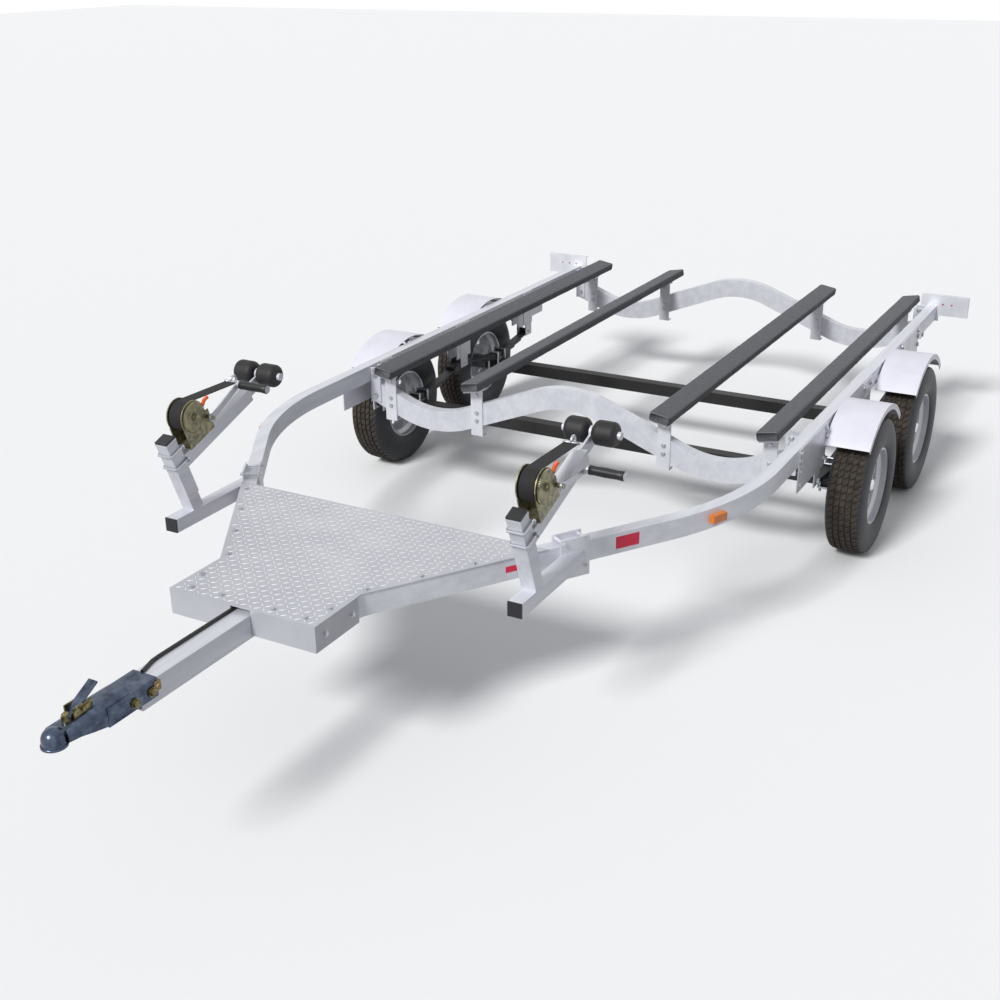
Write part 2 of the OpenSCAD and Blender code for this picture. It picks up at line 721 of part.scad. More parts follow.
// Winch: a folded plate with two cheeks, the drum's core and the crank's shaft
module winch() {
    base_z = stand_tube / 2;
    cheek_r = 60;
    on_arm() {
        block([winch_d - cheek_r, shaft_d + 20], [-cheek_gap / 2 - cheek_t, cheek_gap / 2 + cheek_t],
              [base_z, base_z + cheek_t]);
        for (s = [1, -1]) {
            block([winch_d - cheek_r, shaft_d + 20],
                  [s * (cheek_gap + cheek_t) / 2 - cheek_t / 2, s * (cheek_gap + cheek_t) / 2 + cheek_t / 2],
                  [base_z, shaft_lift + 20]);
            rod_y(winch_d, s * (cheek_gap + cheek_t) / 2, drum_lift, cheek_r, cheek_t);
        }
        rod_y(winch_d, 0, drum_lift, core_r, cheek_gap + 2 * cheek_t + 12);
        rod_y(shaft_d, 18, shaft_lift, shaft_r, cheek_gap + 2 * cheek_t + 36);
    }
}

module left_winch() { color("khaki") translate([0, keel_y, 0]) winch(); }
module right_winch() { color("khaki") translate([0, -keel_y, 0]) winch(); }

hook_d = 387;                         // where the strap's free end is hooked, along the arm
hook_lift = 90;
band_t = 3;
band_w = 50;

// The strap wound on the drum and its taut free end
module winch_strap() {
    reach = norm([hook_d - winch_d, hook_lift - drum_lift]);
    lift_angle = acos(strap_r / reach) + atan2(hook_lift - drum_lift, hook_d - winch_d);
    on_arm() {
        difference() {
            rod_y(winch_d, 0, drum_lift, strap_r, band_w + 2);
            rod_y(winch_d, 0, drum_lift, core_r + eps, cheek_gap);
        }
        translate([winch_d, 0, drum_lift]) rotate([0, 90 - lift_angle, 0])
            block([0, sqrt(reach * reach - strap_r * strap_r)],
                  [-band_w / 2, band_w / 2], [strap_r - band_t, strap_r]);
    }
}

module winch_straps() {
    color([0.1, 0.1, 0.1]) for (s = [1, -1]) translate([0, s * keel_y, 0]) winch_strap();
}

crank_l = 172;
crank_turns = [-21, 8];               // how far each crank is turned up from its arm, left and right

// Crank with its grip, outboard of a winch's left cheek
module winch_crank(turn) {
    on_arm() translate([shaft_d, 0, shaft_lift]) rotate([0, -turn, 0]) {
        difference() {
            union() {
                block([0, crank_l], [crank_y, crank_y + 6], [-11, 11]);
                rod_y(0, crank_y + 3, 0, 16, 6);
                rod_y(crank_l, crank_y + 3, 0, 11, 6);
            }
            rod_y(0, crank_y, 0, shaft_r + eps, 40);
        }
        rod_y(crank_l, crank_y + 6 + 66, 0, 14, 132);
    }
}

module winch_cranks() {
    color([0.12, 0.12, 0.12]) for (i = [0, 1])
        translate([0, (1 - 2 * i) * keel_y, 0]) winch_crank(crank_turns[i]);
}

// A barrel-shaped rubber roller that turns on the stand's bolt
module bow_roller(y) {
    edge = 20;
    translate([roller_x, y - roller_w / 2, roller_z]) rotate([-90, 0, 0]) rotate_extrude() difference() {
        union() {
            translate([roller_bolt_r + run_fit, 0]) square([roller_r - edge - roller_bolt_r, roller_w]);
            translate([roller_r - edge - cut, edge]) square([edge + cut, roller_w - 2 * edge]);
            for (z = [edge, roller_w - edge]) translate([roller_r - edge, z]) circle(r = edge);
        }
        translate([-roller_r, -cut]) square([roller_r + roller_bolt_r + run_fit, roller_w + 2 * cut]);
    }
}

module left_outer_bow_roller() { color([0.1, 0.1, 0.1]) bow_roller(keel_y + roller_y); }
module left_inner_bow_roller() { color([0.1, 0.1, 0.1]) bow_roller(keel_y - roller_y); }
module right_inner_bow_roller() { color([0.1, 0.1, 0.1]) bow_roller(-keel_y + roller_y); }
module right_outer_bow_roller() { color([0.1, 0.1, 0.1]) bow_roller(-keel_y - roller_y); }

// Plastic caps on the posts' tops and the base tubes' front ends
module end_caps() {
    half = stand_tube / 2;
    color([0.1, 0.1, 0.1]) for (s = [1, -1]) translate([0, s * keel_y, 0]) {
        on_post() block([-half, half], [-half, half], [post_l, post_l + 8]);
        block([stand_x, stand_x + 5], [-half, half], [stand_z - half, stand_z + half]);
    }
}

// Lights ---------------------------------------------------------------------------------

lamp_plate = 5;
lamp_low = rail_top - 52;
lamp_high = rail_top + 59;
lamp_out_y = overall_w / 2 - 37;
lamp_hole_r = 5;
lamp_w = 160;
lamp_h = 90;
lamp_d = 44;
lamp_y = rail_out_y + 78;
lamp_in_y = rail_in_y - 34;

// A flanged plate on the rail's rear end, with three holes for the lamp
module light_bracket() {
    flange = 24;
    x = rail_end_x;
    difference() {
        union() {
            block([x - lamp_plate, x], [lamp_in_y, lamp_out_y], [lamp_low, lamp_high]);
            block([x - lamp_plate, x], [lamp_in_y, rail_out_y + 14], [rail_bottom - 6, lamp_high]);
            block([x - flange, x], [lamp_in_y, lamp_out_y], [lamp_high - lamp_plate, lamp_high]);
            block([x - flange, x], [lamp_out_y - lamp_plate, lamp_out_y], [lamp_low, lamp_high]);
        }
        for (i = [0 : 2])
            translate([x, rail_out_y - 15 + 46 * i, rail_top + 10]) rotate([0, 90, 0])
                cylinder(h = 60, r = lamp_hole_r, center = true);
    }
}

module light_brackets() { color("gainsboro") both_sides() light_bracket(); }

module tail_lamps() {
    x = rail_end_x - lamp_plate;
    color("firebrick") both_sides()
        block([x - lamp_d, x], [lamp_y - lamp_w / 2, lamp_y + lamp_w / 2],
              [lamp_low + 12, lamp_low + 12 + lamp_h]);
}

marker_turn = 22.5;                   // where on the rails' rear bend the amber side lamps sit

module side_markers() {
    color("darkorange") both_sides()
        translate([corner_2_x - tangent_2, rail_y - rail_bend_r, rail_z]) rotate(-marker_turn)
            translate([0, rail_bend_r + rail_w / 2, 0]) block([-34, 34], [0, 20], [-15, 15]);
}

// Wheels ---------------------------------------------------------------------------------

bead_w = 14;          // width and height of a tyre's bead

// The tyre's section: radius along X, width along Y
module tyre_outline() {
    side_r = 75;
    bulge = tyre_w / 2 - side_r;
    mid = bead_r + 67;
    difference() {
        union() {
            intersection() {
                union() {
                    for (s = [1, -1]) translate([mid, s * bulge]) circle(r = side_r, $fn = 64);
                    translate([mid - side_r, -bulge]) square([2 * side_r, 2 * bulge]);
                }
                translate([bead_r + eps, -tyre_w]) square([tyre_r - 4 - bead_r, 2 * tyre_w]);
            }
            translate([tyre_r - 40, -tyre_w * 0.38]) square([40, tyre_w * 0.76]);
            // Foot of the two beads that sit on the rim between its flanges
            translate([bead_r + eps, eps - rim_w / 2]) square([bead_w, rim_w - 2 * eps]);
        }
        intersection() {
            union() {
                for (s = [1, -1]) translate([mid, s * bulge]) circle(r = side_r - 10, $fn = 64);
                translate([mid - side_r, bead_w - rim_w / 2]) square([side_r, rim_w - 2 * bead_w]);
            }
            translate([0, -tyre_w]) square([tyre_r - 14, 2 * tyre_w]);
        }
    }
}

module wheel_place(x, side) {
    if (side > 0) translate([x, 0, axle_z]) children();
    else mirror([0, 1, 0]) translate([x, 0, axle_z]) children();
}

// Turns a section drawn as radius and width about the wheel's axle, at distance y
module spin_section(y) {
    translate([0, y, 0]) rotate([-90, 0, 0]) rotate_extrude($fn = 96) children();
}

module tyre(x, side) {
    color([0.13, 0.13, 0.13]) wheel_place(x, side) spin_section(tyre_y) tyre_outline();
}

rim_t = 4;
flange_h = 13;

module rim_outline() {
    half = rim_w / 2;
    drop_r = bead_r - 18;
    for (s = [1, -1]) scale([1, s]) {
        polygon([
            [drop_r - rim_t, 0], [drop_r, 0], [drop_r, 26], [bead_r, 40], [bead_r, half],
            [bead_r + flange_h, half], [bead_r + flange_h, half + rim_t], [bead_r - rim_t, half + rim_t],
            [bead_r - rim_t, 43], [drop_r - rim_t, 29],
        ]);
    }
}

hub_flange_r = 78;
cap_r = 27;
pilot_r = cap_r + 3;

module wheel(x, side) {
    dish_t = 5;
    color([0.75, 0.77, 0.8]) wheel_place(x, side) difference() {
        union() {
            spin_section(tyre_y) rim_outline();
            // The disc: a flat centre, a raised ring and a cone out to the rim's drop
            spin_section(disc_y) polygon([
                [pilot_r, 0], [hub_flange_r, 0], [hub_flange_r + 14, 14], [bead_r - 32, 14],
                [bead_r - 21.5, -2], [bead_r - 21.5, -12], [bead_r - 19, -12], [bead_r - 20, 4],
                [bead_r - 29, 14 + dish_t], [hub_flange_r + 12, 14 + dish_t], [hub_flange_r - 2, dish_t], [pilot_r, dish_t],
            ]);
        }
        for (i = [0 : 4]) rotate([0, 72 * i, 0])
            translate([0, disc_y, bolt_circle_r]) rotate([90, 0, 0]) cylinder(h = 40, r = 7.5, center = true);
        for (i = [0 : 7]) rotate([0, 45 * i, 0])
            translate([0, disc_y, bead_r - 52]) rotate([90, 0, 0]) cylinder(h = 80, r = 13, center = true);
    }
}

module hub(x, side) {
    color([0.35, 0.36, 0.38]) wheel_place(x, side) difference() {
        spin_section(0) polygon([
            [0, hub_in_y], [38, hub_in_y], [38, disc_y - 12], [hub_flange_r, disc_y - 12], [hub_flange_r, disc_y],
            [cap_r, disc_y], [cap_r, disc_y + 34], [cap_r - 8, disc_y + 46], [0, disc_y + 46],
        ]);
        translate([0, hub_in_y - cut, 0]) rotate([-90, 0, 0])
            cylinder(h = spindle_end_y - hub_in_y + cut + 2, r = spindle_r + run_fit);
    }
}

module left_front_tyre() { tyre(front_axle_x, 1); }
module left_front_wheel() { wheel(front_axle_x, 1); }
module left_front_hub() { hub(front_axle_x, 1); }
module left_rear_tyre() { tyre(rear_axle_x, 1); }
module left_rear_wheel() { wheel(rear_axle_x, 1); }
module left_rear_hub() { hub(rear_axle_x, 1); }
module right_front_tyre() { tyre(front_axle_x, -1); }
module right_front_wheel() { wheel(front_axle_x, -1); }
module right_front_hub() { hub(front_axle_x, -1); }
module right_rear_tyre() { tyre(rear_axle_x, -1); }
module right_rear_wheel() { wheel(rear_axle_x, -1); }
module right_rear_hub() { hub(rear_axle_x, -1); }

tongue();
coupler();
coupler_latch();
deck_plate();
deck_frame();
left_rail();
right_rail();
front_crossmember();
rear_crossmember();
left_outer_bunk();
left_inner_bunk();
right_inner_bunk();
right_outer_bunk();
bunk_brackets();
front_axle();
rear_axle();
springs();
spring_hangers();
equalizers();
axle_clamps();
left_front_fender();
left_rear_fender();
right_front_fender();
right_rear_fender();
fender_brackets();
left_winch_stand();
right_winch_stand();
stand_clamps();
left_winch();
right_winch();
winch_straps();
winch_cranks();
left_outer_bow_roller();
left_inner_bow_roller();
right_inner_bow_roller();
right_outer_bow_roller();
end_caps();
light_brackets();
tail_lamps();
side_markers();
left_front_tyre();
left_front_wheel();
left_front_hub();
left_rear_tyre();
left_rear_wheel();
left_rear_hub();
right_front_tyre();
right_front_wheel();
right_front_hub();
right_rear_tyre();
right_rear_wheel();
right_rear_hub();
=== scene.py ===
# %% [markdown]
# # A boat trailer, dressed for the eye
#
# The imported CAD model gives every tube, plate and wheel its place. This lesson adds what a
# maker would see up close: rolled tread plate, carpet, tyre treads, bolts and bright plating.
# Lengths are metres, +X points to the coupler, +Y to the left and +Z up.

import json
import math

import bpy
import numpy as np
from mathutils import Matrix, Vector


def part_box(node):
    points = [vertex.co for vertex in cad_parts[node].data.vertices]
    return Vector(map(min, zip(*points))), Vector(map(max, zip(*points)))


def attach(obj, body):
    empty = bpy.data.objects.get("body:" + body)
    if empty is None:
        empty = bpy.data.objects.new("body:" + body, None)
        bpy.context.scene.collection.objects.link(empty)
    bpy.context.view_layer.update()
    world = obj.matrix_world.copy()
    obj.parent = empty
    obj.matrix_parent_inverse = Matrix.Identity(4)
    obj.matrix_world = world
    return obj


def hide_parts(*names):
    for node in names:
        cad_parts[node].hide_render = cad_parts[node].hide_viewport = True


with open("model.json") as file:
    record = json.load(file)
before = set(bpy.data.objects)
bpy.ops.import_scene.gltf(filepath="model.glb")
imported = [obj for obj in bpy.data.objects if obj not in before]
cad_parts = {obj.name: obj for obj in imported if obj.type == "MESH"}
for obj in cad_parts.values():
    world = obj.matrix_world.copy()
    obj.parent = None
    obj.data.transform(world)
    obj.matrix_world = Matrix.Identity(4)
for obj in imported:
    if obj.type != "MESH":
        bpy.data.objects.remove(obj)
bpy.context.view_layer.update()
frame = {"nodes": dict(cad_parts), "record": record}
print("CAD nodes:", len(frame["nodes"]))

# %% Lines of the trailer
MM = 0.001
SIDES = {"left": 1, "right": -1}
CORNERS = {f"{side}_{end}": sign for side, sign in SIDES.items() for end in ("front", "rear")}


def span(node):
    """Lowest corner, highest corner and middle of a CAD node, as arrays."""
    low, high = (np.array(corner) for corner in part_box(node))
    return low, high, (low + high) / 2


rail_high = span("left_rail")[1]
RAIL_TOP = rail_high[2]
RAIL_OUT = rail_high[1]
deck_low, deck_high, deck_mid = span("deck_plate")
tongue_high = span("tongue")[1]
print("rail top", round(RAIL_TOP, 4), "rail outer face", round(RAIL_OUT, 4))

# %% [markdown]
# ## Small helpers
#
# A fitting is a numpy grid of points with its faces, turned into a mesh in one call. Modelling
# tools could make the same shapes, but a profile in a few numbers is quick to read and to
# change. Each piece rides on a CAD body, so that it moves with it, and carries its finish.


# %% Helpers for meshes
def piece(name, points, faces, material, slot, body="frame", smooth=False):
    """A mesh object from an (n, 3) array of points and a list or array of faces.
    Its name is written with underscores, because a piece's name holds no spaces."""
    name = name.replace(" ", "_")
    mesh = bpy.data.meshes.new(name)
    mesh.from_pydata(np.asarray(points, float).tolist(), [], [list(map(int, f)) for f in faces])
    mesh.update()
    made = bpy.data.objects.new(name, mesh)
    bpy.context.scene.collection.objects.link(made)
    mesh.materials.append(material)
    mesh.polygons.foreach_set("use_smooth", [smooth] * len(mesh.polygons))
    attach(made, body)
    return made


def join(parts):
    """One pair of points and faces from several: each part's face numbers are shifted."""
    points, faces, start = [], [], 0
    for p, f in parts:
        points.append(np.asarray(p, float))
        faces.extend([tuple(i + start for i in face) for face in f])
        start += len(p)
    return np.concatenate(points), faces


def grid_faces(rows, columns, wrap_rows=False, wrap_columns=False):
    """Quads between neighbouring points of a rows x columns grid, joined round where asked."""
    i, j = np.meshgrid(np.arange(rows - (not wrap_rows)),
                       np.arange(columns - (not wrap_columns)), indexing="ij")
    i, j = i.ravel(), j.ravel()
    i1, j1 = (i + 1) % rows, (j + 1) % columns
    quads = np.stack([i * columns + j, i1 * columns + j, i1 * columns + j1, i * columns + j1], 1)
    return [tuple(q) for q in quads.tolist()]


def ring_caps(rows, columns):
    """The two faces that close a grid whose rows are rings: the first row and the last."""
    return [tuple(range(columns))[::-1], tuple(range((rows - 1) * columns, rows * columns))]


BOX_CORNERS = np.array([[x, y, z] for x in (0, 1) for y in (0, 1) for z in (0, 1)], float)
BOX_FACES = [(0, 1, 3, 2), (4, 6, 7, 5), (0, 4, 5, 1), (2, 3, 7, 6), (0, 2, 6, 4), (1, 5, 7, 3)]


def box_part(low, high):
    """The eight corners and six faces of a box between two corners."""
    low, high = np.array(low, float), np.array(high, float)
    return low + BOX_CORNERS * (high - low), BOX_FACES


def frame_of(axis):
    """Three unit vectors as columns; the last lies along axis."""
    axis = np.array(axis, float) / np.linalg.norm(axis)
    helper = np.array([1.0, 0, 0]) if abs(axis[0]) < 0.9 else np.array([0, 0, 1.0])
    side = np.cross(helper, axis)
    side /= np.linalg.norm(side)
    return np.stack([side, np.cross(axis, side), axis], 1)


def turned_part(profile, centre, axis, steps=32):
    """A profile of (radius, distance along axis) turned about the axis.
    A point is centre + radius (cos t, sin t) across the axis + distance along it.
    A flat many-sided face closes each end of the profile."""
    profile = np.array(profile, float)
    t = np.linspace(0, 2 * np.pi, steps, endpoint=False)
    ring = np.stack([np.cos(t), np.sin(t), np.zeros(steps)], 1)
    local = profile[:, None, :1] * ring[None] + profile[:, None, 1:] * np.array([0, 0, 1.0])
    points = np.array(centre) + local.reshape(-1, 3) @ frame_of(axis).T
    faces = [f[::-1] for f in grid_faces(len(profile), steps, wrap_columns=True)]
    faces += ring_caps(len(profile), steps)
    return points, faces


def disc_part(centre, axis, radius, depth, steps=24):
    """A short round bar from centre along axis."""
    return turned_part([(radius, 0), (radius, depth)], centre, axis, steps)


def tube_part(path, radius, steps=10):
    """A round wire along a path: a ring of points stands square to the path at each point,
    at radius (cos t, sin t) along the path's side and rise directions."""
    path = np.array(path, float)
    along = np.gradient(path, axis=0)
    along /= np.linalg.norm(along, axis=1)[:, None]
    up = np.array([0, 0, 1.0]) if abs(along[:, 2]).max() < 0.9 else np.array([0, 1.0, 0])
    side = np.cross(along, up)
    side /= np.linalg.norm(side, axis=1)[:, None]
    rise = np.cross(side, along)
    t = np.linspace(0, 2 * np.pi, steps, endpoint=False)
    points = path[:, None] + radius * (np.cos(t)[None, :, None] * side[:, None]
                                       + np.sin(t)[None, :, None] * rise[:, None])
    faces = grid_faces(len(path), steps, wrap_columns=True) + ring_caps(len(path), steps)
    return points.reshape(-1, 3), faces


# Sizes of a bolt as shares of its thread's diameter
WASHER_R, WASHER_T, HEAD_R, HEAD_TOP_R, HEAD_EDGE, HEAD_H = 1.1, 0.18, 0.86, 0.74, 0.5, 0.6


def bolt_part(centre, axis, size):
    """A hexagon bolt head with a washer. size is the thread's diameter."""
    washer = disc_part(centre, axis, size * WASHER_R, size * WASHER_T, 20)
    axis = np.array(axis, float) / np.linalg.norm(axis)
    head = turned_part([(size * HEAD_R, 0), (size * HEAD_R, size * HEAD_EDGE),
                        (size * HEAD_TOP_R, size * HEAD_H)],
                       np.array(centre) + axis * size * WASHER_T, axis, 6)
    return join([washer, head])


# %% [markdown]
# ## Finishes
#
# Each finish is a Principled shader, and most add a noise that varies the colour or raises a
# fine grain. The nodes could be linked one by one; a helper that adds a node with its settings
# and links keeps each finish to a few lines. Plain numbers stay on the shader's own sockets.


# %% Material helpers
def linear(hex_colour):
    """An sRGB hex colour as linear red, green, blue and alpha."""
    parts = [int(hex_colour[i:i + 2], 16) / 255 for i in (1, 3, 5)]
    light = [c / 12.92 if c <= 0.04045 else ((c + 0.055) / 1.055) ** 2.4 for c in parts]
    return (*light, 1.0)


def add(tree, kind, links=(), **settings):
    """Adds one node. settings name its properties or input sockets (spaces as underscores);
    links are (own input, other node, its output)."""
    node = tree.nodes.new(kind)
    for key, value in settings.items():
        if key in node.bl_rna.properties:
            setattr(node, key, value)
        else:
            node.inputs[key.replace("_", " ")].default_value = value
    for socket, other, output in links:
        tree.links.new(other.outputs[output], node.inputs[socket])
    return node


def finish(name, colour, metallic, roughness, **more):
    """A plain surface: a Principled shader with its constants on its own sockets."""
    material = bpy.data.materials.new(name)
    material.use_nodes = True
    shader = material.node_tree.nodes["Principled BSDF"]
    shader.inputs["Base Color"].default_value = linear(colour)
    shader.inputs["Metallic"].default_value = metallic
    shader.inputs["Roughness"].default_value = roughness
    for key, value in more.items():
        shader.inputs[key.replace("_", " ")].default_value = value
    return material


def noise_at(tree, grain, stretch, **settings):
    """Noise in object space. grain is the patch size in metres, and a stretch below 1 draws
    the patches out along that axis."""
    place = add(tree, "ShaderNodeTexCoord")
    scaled = add(tree, "ShaderNodeMapping", [("Vector", place, "Object")], Scale=stretch)
    return add(tree, "ShaderNodeTexNoise", [("Vector", scaled, "Vector")], Scale=1 / grain,
               **settings)


def mottle(material, dark, light, grain, stretch=(1, 1, 1), low=0.35, high=0.65, detail=3.0):
    """Varies the base colour between two hex values by noise: the colour is dark below low,
    light above high, and a blend between them."""
    tree = material.node_tree
    shader = tree.nodes["Principled BSDF"]
    noise = noise_at(tree, grain, stretch, Detail=detail, Roughness=0.6)
    ramp = add(tree, "ShaderNodeValToRGB", [("Fac", noise, "Fac")])
    ramp.color_ramp.elements[0].position = low
    ramp.color_ramp.elements[1].position = high
    ramp.color_ramp.elements[0].color = linear(dark)
    ramp.color_ramp.elements[1].color = linear(light)
    tree.links.new(ramp.outputs["Color"], shader.inputs["Base Color"])
    return material


def grain_bump(material, grain, height, stretch=(1, 1, 1)):
    """Roughens the surface: bumps of a given size and height, both in metres."""
    tree = material.node_tree
    shader = tree.nodes["Principled BSDF"]
    noise = noise_at(tree, grain, stretch, Detail=2.0)
    bump = add(tree, "ShaderNodeBump", [("Height", noise, "Fac")], Strength=1.0, Distance=height)
    tree.links.new(bump.outputs["Normal"], shader.inputs["Normal"])
    return material


# %% [markdown]
# ## Real materials
#
# A trailer that goes into water is made of few materials, each with a plain reason: bare
# aluminium because it makes its own oxide, zinc on the steel, black rubber and plastic where
# things rub. A texture image could give each its look; noise in object space is used instead,
# because it has no seams and its patches have a real size in millimetres.

# %% Metals
# Extruded aluminium: drawn lines along the tube and a pale, slightly lavender oxide
mill_aluminium = grain_bump(mottle(
    finish("Mill-finish extruded aluminium", "#D8D9E0", 0.3, 0.42),
    "#D0D1D9", "#DFE0E7", 50 * MM, (0.08, 1, 1)), 4 * MM, 0.05 * MM, (0.03, 1, 1))
# Rolled tread plate: brighter on its bars, a little worn between them
tread_aluminium = mottle(finish("Rolled aluminium tread plate", "#C0C1C7", 0.25, 0.45),
                         "#BABBC2", "#C6C7CD", 200 * MM)
# The tops of the bars: boots and rope polish them, so they are smoother than the plate
bar_aluminium = finish("Worn tread bars", "#DFE0E4", 0.4, 0.3)
# Sheared plate: the same alloy with a brighter, smoother face
plate_aluminium = mottle(finish("Sheared aluminium plate", "#DEDFE6", 0.3, 0.4),
                         "#D6D7DE", "#E5E6EB", 120 * MM)
# Fender sheet: smooth satin sheet that looks almost white
fender_aluminium = mottle(finish("Satin aluminium sheet", "#DCDBE6", 0.15, 0.35),
                          "#D8D7E2", "#E0DFEA", 150 * MM)
# Zinc plating: grey-silver, satin, with soft reflections
zinc = finish("Bright zinc plating", "#B9BCC2", 0.85, 0.32)
# Zinc on the coupler: a bluish bright plating, worn to dark steel in patches
bright_zinc = mottle(finish("Blue-bright zinc on the coupler", "#4A5566", 0.85, 0.24),
                     "#20283C", "#667286", 35 * MM, low=0.25, high=0.75)
# Yellow zinc: the dip leaves brown and gold clouds, darker where hands and salt wear it
latch_zinc = mottle(finish("Worn yellow zinc on the latch", "#6F6A50", 0.8, 0.3),
                    "#35342C", "#9A8E62", 12 * MM)
yellow_zinc = mottle(finish("Yellow-passivated zinc", "#8F8A6C", 0.7, 0.36),
                     "#6B6A5B", "#A59E7C", 18 * MM)
# Cast iron hub: a grey wash of zinc over a rough casting
hub_steel = finish("Cast hub with zinc wash", "#7F8288", 0.7, 0.45)
# Chromed cap: a mirror
chrome = finish("Chromed steel", "#D8DADF", 1.0, 0.08)

# %% Paints, carpet, rubber and plastics
# Marine carpet: 4 mm needle-punched pile, charcoal grey with paler fibres
carpet = grain_bump(mottle(finish("Needle-punched marine carpet", "#4A4B4F", 0.0, 0.95,
                                  Sheen_Weight=0.15, Sheen_Roughness=0.5),
                           "#37383C", "#5E6064", 5 * MM, detail=6.0), 4 * MM, 1.2 * MM)
# Sprayed enamel on the axle beams: satin black with a little road dust
axle_black = mottle(finish("Satin black axle paint", "#101012", 0.0, 0.5),
                    "#0B0B0D", "#171615", 40 * MM)
spring_grey = finish("Painted spring steel", "#2B2B2E", 0.2, 0.5)
wheel_silver = finish("Silver wheel paint", "#D4D6DA", 0.35, 0.3)
# Polyester webbing: its weave is drawn coarser than the real 1 mm, so that it shows
webbing = grain_bump(finish("Woven polyester webbing", "#0F0F11", 0.0, 0.8),
                     2.5 * MM, 0.5 * MM, (1, 0.3, 1))
# Moulded parts come smooth from their mould, and rubber is duller than plastic
black_rubber = finish("Moulded black rubber", "#0C0C0E", 0.0, 0.6)
black_plastic = finish("Moulded black plastic", "#101012", 0.0, 0.45)
orange_plastic = finish("Moulded orange plastic", "#E2571B", 0.0, 0.4)
tan_nylon = finish("Tan nylon block", "#B79A6A", 0.0, 0.5)
red_lens = finish("Moulded red acrylic", "#A80F12", 0.0, 0.15, Coat_Weight=0.3)
amber_lens = finish("Moulded amber acrylic", "#E27A12", 0.0, 0.15, Coat_Weight=0.3)
red_tape = finish("Red reflective tape", "#E8294F", 0.0, 0.35)
# Tyre rubber: a clean grey-black wall, and a tread with brown dust in it
sidewall_rubber = mottle(finish("Tyre sidewall rubber", "#191B20", 0.0, 0.55),
                         "#14161B", "#222428", 50 * MM)
tread_rubber = mottle(finish("Dusty tyre tread", "#332C26", 0.0, 0.85),
                      "#231F1C", "#423930", 30 * MM)

# %% Finishes on the CAD nodes
BY_SLOT = {
    "frame_tube": mill_aluminium, "tread_plate": tread_aluminium, "stand_tube": mill_aluminium,
    "bracket_plate": plate_aluminium, "bunk_carpet": carpet, "axle_paint": axle_black,
    "spring_steel": spring_grey, "zinc_steel": zinc, "coupler_plating": bright_zinc,
    "fender_sheet": fender_aluminium, "winch_plating": yellow_zinc, "strap_webbing": webbing,
    "crank_plating": zinc, "roller_rubber": black_rubber, "cap_plastic": black_plastic,
    "red_lens": red_lens, "amber_lens": amber_lens, "tyre_rubber": sidewall_rubber,
    "wheel_paint": wheel_silver, "hub_paint": hub_steel,
}
for entry in frame["record"]["subparts"]:
    node = frame["nodes"][entry["node"]]
    node.data.materials.clear()
    node.data.materials.append(BY_SLOT[entry["material_slot"]])
print("finishes:", len(bpy.data.materials))

# %% [markdown]
# ## Tyres
#
# A trailer tyre is a rubber carcass with ribs round it and short cross grooves in each rib.
# It could be carved with booleans, but one grid does it: the section runs round the tyre as
# rows, the turn as columns, and wherever a groove passes the radius is let in by its depth.

# %% Tyre surface
tyre_low, tyre_high, _ = span("left_front_tyre")
TYRE_R = tyre_high[2] / 2
TYRE_W = tyre_high[1] - tyre_low[1]
BEAD_R = 0.1656                             # the tyre's inner edge, on the wheel
BEAD_Y = (0.0500, 0.0632)                   # the bead's inner and outer face
LINING_R = 0.200                            # the inside of the tread, never seen
WALL_R, WALL_TALL, WALL_Y = 0.232, 0.066, 0.058     # ellipse of the side: middle, height, root
WALL_START, WALL_END = -0.42 * np.pi, 0.36 * np.pi
TREAD_HALF, CROWN_DROP = 0.0625, 0.004
GROOVES = (-0.038, -0.013, 0.013, 0.038)    # places of the round grooves, from the middle
GROOVE_W, GROOVE_SLOPE = 0.0045, 0.0006     # floor of a groove and the run of its sides
GROOVE_DEEP = 0.007
CROSS_DEEP = GROOVE_DEEP * 0.8              # cross grooves are shallower
TREAD_PITCHES = 60                          # cross grooves round the tyre
CROSS_SLANT = 18                            # pitches that a cross groove shifts in a metre
RIB_GAP, SHOULDER_GAP = 0.13, 0.22          # share of a pitch that the groove takes
TURN_STEPS = 480
NEAR = 1e-6


def tyre_section():
    """Three runs of the section as (y, radius): left side, tread and right side.
    A side is part of an ellipse: y = WALL_Y + (half width - WALL_Y) cos t and
    radius = WALL_R + WALL_TALL sin t / sin 0.42 pi. The crown drops by the square of y."""
    t = np.linspace(WALL_START, WALL_END, 18)
    side_y = WALL_Y + (TYRE_W / 2 - WALL_Y) * np.cos(t)
    side_r = WALL_R + WALL_TALL * np.sin(t) / np.sin(-WALL_START)
    edges = np.array([-GROOVE_W / 2 - GROOVE_SLOPE, -GROOVE_W / 2,
                      GROOVE_W / 2, GROOVE_W / 2 + GROOVE_SLOPE])
    between = np.array([0.006, 0.022, 0.030, 0.044, 0.050, 0.056])
    tread = np.sort(np.concatenate([[-TREAD_HALF, TREAD_HALF, 0], between, -between,
                                    *(groove + edges for groove in GROOVES)]))
    crown = TYRE_R - CROWN_DROP * (tread / TREAD_HALF) ** 2
    right = np.stack([side_y, side_r], 1)
    left = right[::-1] * np.array([-1, 1])
    return left, np.stack([tread, crown], 1), right


